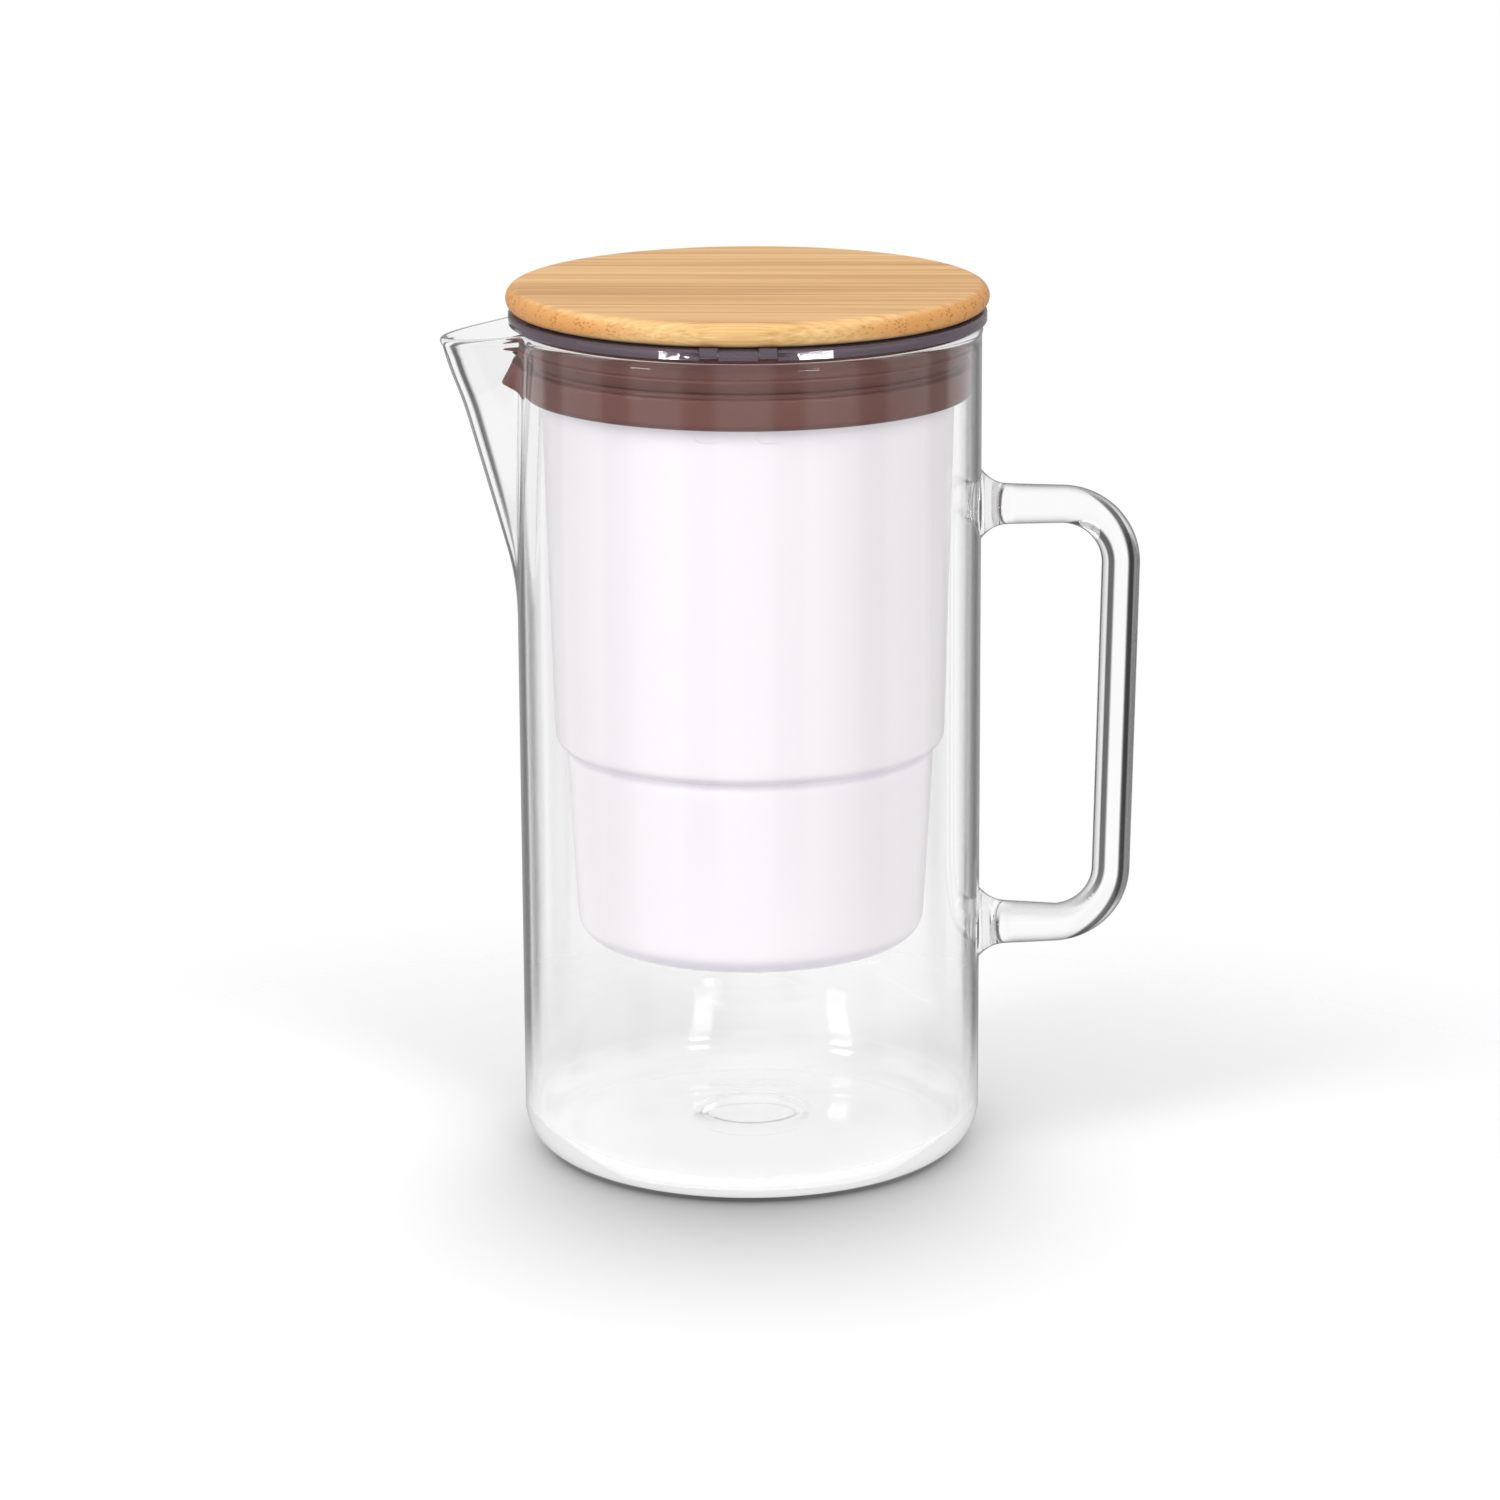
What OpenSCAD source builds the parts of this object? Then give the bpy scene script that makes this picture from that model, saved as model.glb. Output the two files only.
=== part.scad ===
// Water filter pitcher with flip lid.
// Frame: origin on the jug's axis at the plane that it stands on, +Z up.
// The spout points along -X, the handle along +X, and the lid's hinge is at -Y.

/* [Glass jug] */
// Outside diameter of the jug's wall
jug_d = 125; // [122:0.5:132]
// Height of the jug's rim above the table
jug_h = 227.6; // [215:0.2:250]
// Thickness of the jug's wall
jug_wall = 2.3; // [1.8:0.1:2.6]
// Thickness of the jug's floor
jug_floor = 4; // [3:0.5:6]
// Radius of the round corner under the wall
jug_corner_r = 11; // [8:0.5:14]
// Radius of the bead along the rim
rim_bead_r = 1.55; // [1.3:0.05:1.9]
// Radius of the hollow under the pushed-up floor
punt_r = 44; // [30:0.5:46]
// Depth of the hollow under the pushed-up floor
punt_depth = 4.6; // [1.5:0.1:6]
// Radius of the hump inside the floor
dimple_r = 46; // [40:0.5:48]
// Height of the hump inside the floor
dimple_h = 5; // [3:0.1:6]

/* [Spout] */
// Reach of the spout's tip beyond the rim
spout_reach = 19.3; // [15:0.1:26]
// Radius of the spout at its mouth
spout_top_r = 14.5; // [12:0.5:16]
// Radius of the spout at its foot
spout_foot_r = 4; // [3:0.5:6]
// Length of the spout along its middle line
spout_l = 74; // [60:1:90]
// How far the middle of the spout's mouth lies below the rim
spout_sink = 1.6; // [0.5:0.1:3]

/* [Handle] */
// Diameter of the handle's glass rod at the grip
rod_d = 10.3; // [8:0.1:13]
// Clear gap between the wall and the grip's upper end
grip_gap = 32.45; // [28:0.05:45]
// Height of the upper arm's middle
handle_top_z = 178.6; // [165:0.5:190]
// Height of the lower arm's middle
handle_low_z = 61.8; // [50:0.5:80]
// Radius of the rod's middle line round its corners
handle_corner_r = 16; // [12:0.5:20]
// Lean of the grip towards the wall at its lower end, in degrees
handle_lean = 1.2; // [0:0.1:3]
// Diameter of the upper arm where it meets its foot
arm_top_d = 11.4; // [9:0.1:14]
// Diameter of the lower arm where it meets its foot
arm_low_d = 12.6; // [9:0.1:14]
// Radius of the flared feet on the wall
foot_r = 11; // [9:0.5:13]
// Length of the flared feet outside the wall
foot_l = 7; // [6:0.5:10]

/* [Reservoir] */
// How far the reservoir's rim stands out from its tall wall
rim_swell = 0.6; // [0.3:0.1:1]
// How much the radius shrinks from the rim down to the step
upper_taper = 2.4; // [1:0.1:3]
// Width of the step
step_w = 2.5; // [2.4:0.1:4]
// How much the radius shrinks from the step down to the floor corner
lower_taper = 3; // [1:0.1:5]
// Height of the step's lower edge above the table
tank_step_z = 114; // [100:0.5:125]
// Height of the reservoir's underside above the table
tank_base_z = 59.5; // [40:0.5:80]
// Radius of the reservoir's floor corner
tank_corner_r = 7; // [5:0.5:10]
// Thickness of the reservoir's wall and floor
tank_wall = 1.8; // [1.4:0.1:2.2]
// Width of one relief tab below the gasket
tab_w = 12.4; // [8:0.2:14]
// Height of the relief tabs that shows below the gasket
tab_drop = 3.6; // [2:0.2:6]
// Distance between the middles of the two relief tabs
tab_pitch = 15.9; // [14.5:0.1:20]

/* [Gasket] */
// Thickness of the gasket between the glass and the reservoir
gasket_grip = 4; // [3.4:0.1:5]
// Height of the gasket's skirt edge below the rim
skirt_drop = 18.1; // [15:0.1:22]
// Height of the skirt
skirt_h = 9; // [7:0.1:10]
// Height of the plain band above the skirt
band_h = 3.7; // [2:0.1:5]
// Height of the upper lip
lip_h = 2.7; // [1.5:0.1:3.5]
// How far the gasket's top stands above the rim
gasket_rise = 1.1; // [1:0.1:4]
// Reach of the skirt's pouring tongue beyond the gasket
tongue_reach = 9; // [3:0.1:10]
// Reach of the upper lip's tongue beyond the gasket
lip_tongue_reach = 6.5; // [2:0.1:8]
// Half of the angle that the tongues take, in degrees
tongue_half_angle = 8; // [5:0.5:8]

/* [Lid] */
// How far the bamboo disc stands out over the tinted ring
bamboo_overhang = 0.65; // [0.2:0.05:3]
// Thickness of the bamboo disc
bamboo_t = 6.4; // [5:0.2:10]
// How far the tinted ring stands out over the jug's rim
ring_overhang = 0.55; // [0:0.05:1.2]
// Thickness of the tinted ring
ring_t = 2.7; // [2.4:0.1:4]
// Depth of the ring's skirt below its flange
plug_depth = 8.3; // [6:0.1:12]
// Thickness of the ring's skirt
plug_wall = 1.8; // [1.6:0.1:2.4]
// Thickness of the plate under the bamboo
plate_t = 1.2; // [0.8:0.1:2]
// Depth of the plate's lower rim
plate_rim_h = 1.8; // [1:0.1:2.2]
// Open gap between the ring and the bamboo
lid_gap = 0.5; // [0.4:0.05:1]

/* [Hinge] */
// Radius of the hinge knuckles
knuckle_r = 1.05; // [0.9:0.05:1.2]
// Radius of the hinge pin
pin_r = 0.5; // [0.4:0.05:0.6]
// Width of the middle knuckle
knuckle_mid_w = 10.2; // [6:0.1:14]
// Width of each outer knuckle
knuckle_side_w = 4.6; // [3:0.1:7]

/* [Screws] */
// Number of screws between the plate and the bamboo
screw_count = 4; // [3:1:8]
// Radius of the circle that the screws stand on
screw_circle_r = 40; // [20:1:46]
// Radius of a screw's shank
screw_r = 1.4; // [1:0.1:1.8]
// Radius of a screw's head
screw_head_r = 2.7; // [2.2:0.1:3.2]
// Length of a screw under its head
screw_l = 3.8; // [3:0.1:4]

/* [Cartridge] */
// Outside radius of the cartridge at its top
cart_top_r = 30; // [28:0.5:36]
// Outside radius of the cartridge at its socket
cart_base_r = 26; // [22:0.5:27]
// Height of the cartridge's cup
cart_h = 56; // [40:0.5:70]
// Thickness of the cup's wall
cart_wall = 1.5; // [1:0.1:2]
// Height of the socket on the reservoir's floor
socket_h = 10; // [6:0.5:14]
// Radius of the outlet hole in the reservoir's floor
outlet_r = 19; // [14:0.5:20]
// Height of the cap above the cup
cap_h = 6; // [4:0.5:10]
// Number of slots in the cap
cap_slots = 16; // [8:1:24]
// Clear width inside the pull loop
loop_w = 18; // [14:0.5:24]
// Clear height inside the pull loop
loop_h = 9; // [7:0.5:14]
// Thickness of the pull loop
loop_t = 2.4; // [1.6:0.1:3]
// Depth of the resin bed
resin_h = 22; // [15:0.5:30]
// Thickness of the felt pads
felt_t = 2; // [1:0.1:3]
// Thickness of the inlet mesh
mesh_t = 0.6; // [0.4:0.1:1]

/* [Fits] */
// Running clearance between a moving piece and its seat
clear = 0.3; // [0.2:0.05:0.4]
// Clearance between pieces that are fixed to each other
snug = 0.1; // [0.05:0.01:0.15]
// Clearance round the hinge pin
pin_clear = 0.05; // [0.03:0.01:0.08]

/* [Hidden] */
$fn = 96;
over = 1;

jug_r = jug_d / 2;
jug_in_r = jug_r - jug_wall;
bead_z = jug_h - rim_bead_r;
bead_in = jug_wall - rim_bead_r;
wall_top_drop = 0.4;
inner_corner_r = jug_corner_r - jug_wall;

bead_out = rim_bead_r - bead_in;

spout_bead_tuck = 0.4;
spout_tip_r = jug_r + bead_out + spout_reach;
spout_x = spout_tip_r - spout_top_r - bead_out + spout_bead_tuck;
spout_z = jug_h - spout_sink;
spout_embed = 1.4;
spout_foot_x = jug_r - spout_foot_r - spout_embed;
spout_tilt = asin((spout_x - spout_foot_x) / spout_l);
spout_bead_r = rim_bead_r - 0.1;
spout_over = 10;

skirt_z = jug_h - skirt_drop;
band_z = skirt_z + skirt_h;
lip_z = band_z + band_h;
lip_top_z = lip_z + lip_h;
gasket_top_z = jug_h + gasket_rise;
gasket_r = jug_in_r - clear;
gasket_in_r = gasket_r - gasket_grip;
gasket_groove = 1.1;
gasket_cap_t = 1.2;
gasket_chamfer = 0.5;
gasket_foot = 1;
tongue_root = 0.3;
tongue_slope = 36;
lip_tongue_low = 0.4;
lip_tongue_t = 1.2;

tank_rim_r = gasket_in_r - snug;
tank_top_r = tank_rim_r - rim_swell;
tank_step_r = tank_top_r - upper_taper;
tank_low_r = tank_step_r - step_w;
tank_base_r = tank_low_r - lower_taper;
tank_rim_ramp = 1.5;
tank_blend = 0.02;
socket_wall = 1.5;
weld = 0.2;
tank_rim_z = gasket_top_z - gasket_cap_t - snug;
tank_rim_drop = 2;
tank_rim_low_z = skirt_z - tank_rim_drop;
tank_bore_r = tank_rim_r - tank_wall;
shoulder_r = 3;
tab_shift = 2.35;

ring_r = jug_r + bead_out + ring_overhang;
ring_z = gasket_top_z + snug;
ring_top_z = ring_z + ring_t;
ring_round = 0.6;
plug_r = tank_bore_r - 2 * clear;
mouth_r = plug_r - plug_wall;
seal_r = 0.7;
seal_sink = 0.4;
seal_z = ring_z - plug_depth / 2;

bamboo_z = ring_top_z + lid_gap;
bamboo_edge_r = bamboo_t / 2;
bamboo_flat_r = ring_r + bamboo_overhang - bamboo_edge_r;
plate_z = ring_top_z + snug;
plate_r = bamboo_flat_r - 0.8;
plate_rim_r = mouth_r - 2 * clear;
plate_rim_wall = 1.2;

knuckle_gap = 0.2;
hinge_rise = 1.5;
hinge_y = -(ring_r - knuckle_r - knuckle_gap);
hinge_z = ring_z + hinge_rise;
side_x0 = knuckle_mid_w / 2 + knuckle_gap;
side_x1 = side_x0 + knuckle_side_w;
notch_back_y = hinge_y + knuckle_r + clear;

floor_top_z = tank_base_z + tank_wall;
cart_z = floor_top_z + snug;
cart_top_z = cart_z + cart_h;
cart_in_base_r = cart_base_r - cart_wall;
cart_in_top_r = cart_top_r - cart_wall;
outlet_seat = 2;
bed_headroom = 1;
handle_reach = jug_r + grip_gap + rod_d / 2;
cap_t = 1.6;
grille_z = cart_z - tank_wall;
bed_z = cart_z + cart_wall;
felt_z = bed_z;
resin_z = felt_z + felt_t;
divider_z = resin_z + resin_h;
carbon_z = divider_z + felt_t;
carbon_top_z = cart_top_z - mesh_t - bed_headroom;
loop_z = cart_top_z + cap_h;

glass_tint = [0.86, 0.93, 0.95, 0.35];
frost_tint = [0.97, 0.95, 0.98, 0.85];
silicone_brown = [0.50, 0.38, 0.34];
tinted = [0.42, 0.40, 0.50, 0.85];
bamboo_tan = [0.88, 0.71, 0.50];
white_plastic = [0.93, 0.93, 0.94];

// A lobe that is 1 at the middle and 0 from the half angle on.
function lobe(a, half) = abs(a) >= half ? 0 : pow(1 - pow(a / half, 2), 2);

// Half section of the jug's outside: wall, round corner and floor.
module jug_outline() {
    translate([0, jug_corner_r])
        square([jug_r, bead_z - wall_top_drop - jug_corner_r]);
    square([jug_r - jug_corner_r, jug_corner_r + over]);
    intersection() {
        translate([jug_r - jug_corner_r, jug_corner_r])
            circle(r = jug_corner_r);
        square([jug_r + over, jug_corner_r + over]);
    }
}

// Half section of the jug's inside.
module jug_hollow() {
    low = jug_floor + inner_corner_r;
    translate([0, low])
        square([jug_in_r, jug_h]);
    translate([0, jug_floor])
        square([jug_in_r - inner_corner_r, inner_corner_r + over]);
    intersection() {
        translate([jug_in_r - inner_corner_r, low])
            circle(r = inner_corner_r);
        translate([0, jug_floor])
            square([jug_in_r + over, inner_corner_r + over]);
    }
}

// Part of a circle that rises h above a chord of half width w, chord on the X axis.
module cap_section(w, h) {
    r = (w * w + h * h) / (2 * h);
    intersection() {
        translate([0, h - r])
            circle(r = r, $fn = 180);
        square([w, h]);
    }
}

// The round wall with its bead.
module jug_wall_and_bead() {
    rotate_extrude($fn = 180)
        difference() {
            union() {
                difference() {
                    jug_outline();
                    jug_hollow();
                }
                translate([0, jug_floor])
                    cap_section(dimple_r, dimple_h);
            }
            cap_section(punt_r, punt_depth);
        }
    rotate_extrude($fn = 180)
        translate([jug_r - bead_in, bead_z])
            circle(r = rim_bead_r, $fn = 48);
}

// Places its children on the spout's leaning middle line, with zero at its mouth.
module at_spout() {
    translate([-spout_x, 0, spout_z])
        rotate([0, -spout_tilt, 0])
            children();
}

// Cone of the spout's outside, and the bead along its mouth.
module spout_outside() {
    at_spout() {
        translate([0, 0, -spout_l])
            cylinder(r1 = spout_foot_r, r2 = spout_top_r, h = spout_l - rim_bead_r, $fn = 64);
        translate([0, 0, -rim_bead_r])
            rotate_extrude($fn = 96)
                translate([spout_top_r - bead_in, 0])
                    circle(r = spout_bead_r, $fn = 48);
    }
}

// Cone of the spout's channel, carried on above its mouth.
module spout_inside() {
    growth = (spout_top_r - spout_foot_r) / spout_l;
    at_spout()
        translate([0, 0, -spout_l])
            cylinder(r1 = spout_foot_r - jug_wall,
                     r2 = spout_top_r - jug_wall + growth * spout_over,
                     h = spout_l + spout_over, $fn = 64);
}

module glass_jug() {
    color(glass_tint) {
        difference() {
            jug_wall_and_bead();
            spout_inside();
        }
        difference() {
            spout_outside();
            rotate_extrude($fn = 180)
                jug_hollow();
            spout_inside();
        }
    }
}

// Straight or tapered rod from a point along a direction in the XZ plane.
module rod(x, z, angle, length, r0, r1) {
    translate([x, 0, z])
        rotate([0, angle, 0])
            cylinder(h = length, r1 = r0, r2 = r1, $fn = 48);
}

// Bent rod about a centre in the XZ plane, from one angle over a turn.
module rod_bend(x, z, start, turn) {
    translate([x, 0, z])
        rotate([90, 0, 0])
            rotate_extrude(angle = turn, start = start, $fn = 96)
                translate([handle_corner_r, 0])
                    circle(d = rod_d, $fn = 48);
}

// Flared foot on the wall: a short collar with a hollow fillet.
module handle_foot(z, arm_r) {
    fillet = foot_r - arm_r + 0.15;
    sink = jug_wall;
    translate([jug_r - sink, 0, z])
        rotate([0, 90, 0])
            rotate_extrude($fn = 96)
                difference() {
                    square([foot_r, foot_l + sink]);
                    translate([foot_r, foot_l + sink])
                        circle(r = fillet, $fn = 64);
                }
}

module glass_handle() {
    lap = 0.4;
    step = 0.03;
    rod_r = rod_d / 2 - step;
    top_x = handle_reach - handle_corner_r;
    top_z = handle_top_z - handle_corner_r;
    low_z = handle_low_z + handle_corner_r;
    grip_l = (top_z - low_z) / cos(handle_lean);
    low_x = top_x - grip_l * sin(handle_lean);
    foot_x = jug_r - jug_wall;
    color(glass_tint)
        difference() {
            union() {
                rod(top_x + lap, handle_top_z, -90, top_x + lap - foot_x, rod_r, arm_top_d / 2);
                rod_bend(top_x, top_z, -handle_lean, 90 + handle_lean);
                rod(top_x + handle_corner_r * cos(handle_lean) + lap * sin(handle_lean),
                    top_z - handle_corner_r * sin(handle_lean) + lap * cos(handle_lean),
                    180 + handle_lean, grip_l + 2 * lap, rod_r, rod_r);
                rod_bend(low_x, low_z, -90, 90 - handle_lean);
                rod(low_x + lap, handle_low_z, -90, low_x + lap - foot_x, rod_r, arm_low_d / 2);
                handle_foot(handle_top_z, arm_top_d / 2);
                handle_foot(handle_low_z, arm_low_d / 2);
            }
            cylinder(r = jug_r, h = jug_h, $fn = 180);
        }
}

// Half section of the reservoir, offset inwards by t, open at its top.
module tank_outline(t) {
    step_top = tank_step_z + shoulder_r + over;
    base = tank_base_z + t;
    corner = tank_corner_r - t;
    polygon([
        [0, tank_base_z + tank_corner_r],
        [tank_base_r - t, tank_base_z + tank_corner_r],
        [tank_low_r - t, tank_step_z + t],
        [tank_low_r - t, step_top + t],
        [0, step_top + t]
    ]);
    polygon([
        [0, tank_step_z + shoulder_r],
        [tank_step_r - t, tank_step_z + shoulder_r],
        [tank_top_r - t, tank_rim_low_z],
        [tank_rim_r - t, tank_rim_low_z + tank_rim_ramp],
        [tank_rim_r - t, tank_rim_z + (t > 0 ? over : 0)],
        [0, tank_rim_z + (t > 0 ? over : 0)]
    ]);
    translate([0, base])
        square([tank_base_r - t - corner, corner + over]);
    intersection() {
        translate([tank_base_r - t - corner, base + corner])
            circle(r = corner, $fn = 64);
        translate([0, base])
            square([tank_base_r, corner]);
    }
    intersection() {
        translate([tank_step_r - shoulder_r - tank_blend, tank_step_z + shoulder_r])
            circle(r = shoulder_r - t, $fn = 64);
        translate([0, tank_step_z + t])
            square([tank_step_r, shoulder_r + over]);
    }
}

// A shallow raised tab on the reservoir's front below the gasket.
module relief_tab(x) {
    depth = 0.5;
    corner = 2;
    low = skirt_z - tab_drop;
    intersection() {
        translate([x, 0, low])
            rotate([90, 0, 0])
                linear_extrude(height = jug_r) {
                    translate([-tab_w / 2, corner])
                        square([tab_w, tab_drop + corner]);
                    translate([-tab_w / 2 + corner, 0])
                        square([tab_w - 2 * corner, corner + over]);
                    for (side = [-1, 1])
                        translate([side * (tab_w / 2 - corner), corner])
                            circle(r = corner, $fn = 48);
                }
        difference() {
            cylinder(r = tank_top_r + depth, h = jug_h, $fn = 180);
            cylinder(r = tank_top_r - depth, h = jug_h, $fn = 180);
        }
    }
}

module funnel_shell() {
    color(frost_tint) {
        difference() {
            rotate_extrude($fn = 180)
                difference() {
                    tank_outline(0);
                    tank_outline(tank_wall);
                }
            translate([0, 0, tank_base_z - over])
                cylinder(r = outlet_r, h = tank_wall + 2 * over);
        }
        translate([0, 0, floor_top_z - weld])
            rotate_extrude()
                translate([cart_base_r + clear, 0])
                    square([socket_wall, socket_h + weld]);
        for (i = [-1, 1])
            relief_tab(tab_shift + i * tab_pitch / 2);
    }
}

// Half section of the gasket away from its tongues.
module gasket_section() {
    c = gasket_chamfer;
    groove_r = gasket_r - gasket_groove;
    polygon([
        [gasket_in_r, skirt_z + gasket_foot],
        [gasket_in_r + gasket_foot, skirt_z],
        [gasket_r - 2 * c, skirt_z + c / 2],
        [gasket_r, skirt_z + 3 * c],
        [gasket_r, band_z - c],
        [gasket_r - c, band_z],
        [groove_r, band_z + c / 2],
        [groove_r, lip_z - c / 2],
        [gasket_r, lip_z],
        [gasket_r, lip_top_z - c],
        [gasket_r - c, lip_top_z],
        [groove_r, lip_top_z + c],
        [groove_r, gasket_top_z],
        [tank_bore_r - snug, gasket_top_z],
        [tank_bore_r - snug, gasket_top_z - gasket_cap_t],
        [gasket_in_r, gasket_top_z - gasket_cap_t]
    ]);
}

// Plan of a tongue: the lobe carried on the gasket's outside.
module tongue_plan(reach) {
    steps = 16;
    inner = gasket_in_r + gasket_foot;
    outer_points = [for (i = [0 : steps])
        let (a = tongue_half_angle * (2 * i / steps - 1),
             r = gasket_r - tongue_root + (reach + tongue_root) * lobe(a, tongue_half_angle))
        [-r * cos(a), -r * sin(a)]];
    inner_points = [for (i = [steps : -1 : 0])
        let (a = tongue_half_angle * (2 * i / steps - 1))
        [-inner * cos(a), -inner * sin(a)]];
    polygon(concat(outer_points, inner_points));
}

module silicone_gasket() {
    color(silicone_brown) {
        rotate_extrude($fn = 180)
            gasket_section();
        difference() {
            translate([0, 0, skirt_z + gasket_foot])
                linear_extrude(height = skirt_h - gasket_foot - gasket_chamfer)
                    tongue_plan(tongue_reach);
            translate([-gasket_r, 0, skirt_z + gasket_foot])
                rotate([0, tongue_slope, 0])
                    translate([-jug_d, -jug_r, -jug_r])
                        cube([jug_d, jug_d, jug_r]);
        }
        translate([0, 0, lip_z + lip_tongue_low])
            linear_extrude(height = lip_tongue_t)
                tongue_plan(lip_tongue_reach);
    }
}

// Knuckle along X between two places.
module knuckle(x0, x1, r) {
    translate([x0, hinge_y, hinge_z])
        rotate([0, 90, 0])
            cylinder(r = r, h = x1 - x0, $fn = 48);
}

module lid_ring() {
    notch_w = 2 * (side_x1 + knuckle_gap);
    color(tinted)
        difference() {
            union() {
                difference() {
                    rotate_extrude($fn = 180) {
                        difference() {
                            union() {
                                translate([mouth_r, ring_z])
                                    square([ring_r - ring_round - mouth_r, ring_t]);
                                translate([mouth_r, ring_z])
                                    square([ring_r - mouth_r, ring_t - ring_round]);
                                translate([ring_r - ring_round, ring_top_z - ring_round])
                                    circle(r = ring_round, $fn = 48);
                                translate([mouth_r, ring_z - plug_depth])
                                    square([plug_wall, plug_depth + over]);
                            }
                            translate([plug_r - seal_sink, seal_z])
                                circle(r = seal_r, $fn = 48);
                        }
                    }
                    translate([-notch_w / 2, -jug_d, ring_z - over])
                        cube([notch_w, jug_d + notch_back_y, ring_t + 2 * over]);
                }
                knuckle(-knuckle_mid_w / 2, knuckle_mid_w / 2, knuckle_r);
                translate([-knuckle_mid_w / 2, hinge_y - knuckle_r, ring_z])
                    cube([knuckle_mid_w, notch_back_y - hinge_y + knuckle_r + over,
                          hinge_z - ring_z]);
            }
            knuckle(-notch_w, notch_w, pin_r + pin_clear);
        }
}

module lid_seal() {
    color(silicone_brown)
        rotate_extrude($fn = 180)
            translate([plug_r - seal_sink, seal_z])
                circle(r = seal_r - snug / 2, $fn = 48);
}

module hinge_pin() {
    color("silver")
        knuckle(-side_x1 + 0.4, side_x1 - 0.4, pin_r);
}

// Places of the screws between the plate and the bamboo.
module at_screws() {
    for (i = [0 : screw_count - 1])
        rotate([0, 0, 360 * (i + 0.5) / screw_count])
            translate([screw_circle_r, 0, 0])
                children();
}

module screw_solid(r, head_r, low, head_t, length) {
    translate([0, 0, low])
        cylinder(r1 = head_r, r2 = r, h = head_t, $fn = 48);
    translate([0, 0, low])
        cylinder(r = r, h = length, $fn = 48);
}

module lid_plate() {
    web_t = 0.8;
    leaf_lap = 3;
    color(tinted)
        difference() {
            union() {
                translate([0, 0, plate_z])
                    cylinder(r = plate_r, h = plate_t, $fn = 180);
                translate([0, 0, plate_z - plate_rim_h])
                    difference() {
                        cylinder(r = plate_rim_r, h = plate_rim_h + weld, $fn = 180);
                        translate([0, 0, -over])
                            cylinder(r = plate_rim_r - plate_rim_wall,
                                     h = plate_rim_h + over, $fn = 180);
                    }
                for (side = [-1, 1]) {
                    x0 = side < 0 ? -side_x1 : side_x0;
                    knuckle(x0, x0 + knuckle_side_w, knuckle_r);
                    translate([x0, hinge_y - knuckle_r, hinge_z])
                        cube([knuckle_side_w, knuckle_r + web_t, bamboo_z - hinge_z]);
                    translate([x0, hinge_y, plate_z])
                        cube([knuckle_side_w, ring_r - plate_r + leaf_lap, bamboo_z - plate_z]);
                }
            }
            knuckle(-jug_r, jug_r, pin_r + pin_clear);
            at_screws()
                screw_solid(screw_r + snug, screw_head_r + 2 * snug, plate_z - snug,
                            plate_t + snug, plate_t + over);
        }
}

module lid_screws() {
    drive_r = 1.1;
    drive_depth = 0.7;
    color("silver")
        at_screws()
            difference() {
                screw_solid(screw_r, screw_head_r, plate_z, plate_t, plate_t + screw_l);
                translate([0, 0, plate_z - over])
                    cylinder(r = drive_r, h = over + drive_depth, $fn = 6);
            }
}

module bamboo_disc() {
    recess = plate_z + plate_t + snug - bamboo_z;
    color(bamboo_tan)
        difference() {
            translate([0, 0, bamboo_z])
                rotate_extrude($fn = 180) {
                    square([bamboo_flat_r, bamboo_t]);
                    translate([bamboo_flat_r, bamboo_edge_r])
                        circle(r = bamboo_edge_r, $fn = 64);
                }
            translate([0, 0, bamboo_z - over])
                cylinder(r = plate_r + snug, h = recess + over, $fn = 180);
            at_screws()
                translate([0, 0, bamboo_z])
                    cylinder(r = screw_r + snug / 2,
                             h = plate_z + plate_t + screw_l + snug - bamboo_z, $fn = 48);
        }
}

// Half section of the cup's inside between two heights, shrunk by a fit.
function cup_in_r(z) =
    cart_in_base_r + (cart_in_top_r - cart_in_base_r)
        * max(0, (z - cart_z - socket_h) / (cart_h - socket_h));

module cartridge_body() {
    wall = cart_wall;
    color(white_plastic)
        difference() {
            rotate_extrude()
                polygon([
                    [0, cart_z],
                    [cart_base_r, cart_z],
                    [cart_base_r, cart_z + socket_h],
                    [cart_top_r, cart_top_z],
                    [cart_in_top_r, cart_top_z],
                    [cart_in_base_r, cart_z + socket_h],
                    [cart_in_base_r, cart_z + wall],
                    [0, cart_z + wall]
                ]);
            translate([0, 0, cart_z - over])
                cylinder(r = outlet_r - outlet_seat, h = wall + 2 * over);
            translate([0, 0, cart_z + socket_h / 2])
                rotate_extrude()
                    translate([cart_base_r, 0])
                        circle(r = seal_r, $fn = 48);
        }
}

module cartridge_seal() {
    color(silicone_brown)
        translate([0, 0, cart_z + socket_h / 2])
            rotate_extrude()
                translate([cart_base_r - seal_r / 2 + snug, 0])
                    circle(r = seal_r / 2, $fn = 48);
}

// A pad or bed that fills the cup between two heights.
module cup_fill(z0, z1) {
    knee = cart_z + socket_h;
    rotate_extrude()
        polygon(concat(
            [[0, z0], [cup_in_r(z0) - snug, z0]],
            z0 < knee && z1 > knee ? [[cup_in_r(knee) - snug, knee]] : [],
            [[cup_in_r(z1) - snug, z1], [0, z1]]
        ));
}

module outlet_felt() {
    color("white")
        cup_fill(felt_z, felt_z + felt_t);
}

module resin_bed() {
    color("orange")
        cup_fill(resin_z, resin_z + resin_h);
}

module felt_divider() {
    color("white")
        cup_fill(divider_z, divider_z + felt_t);
}

module carbon_bed() {
    color("dimgray")
        cup_fill(carbon_z, carbon_top_z);
}

module inlet_mesh() {
    color("lightgray")
        cup_fill(carbon_top_z, carbon_top_z + mesh_t);
}

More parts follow.
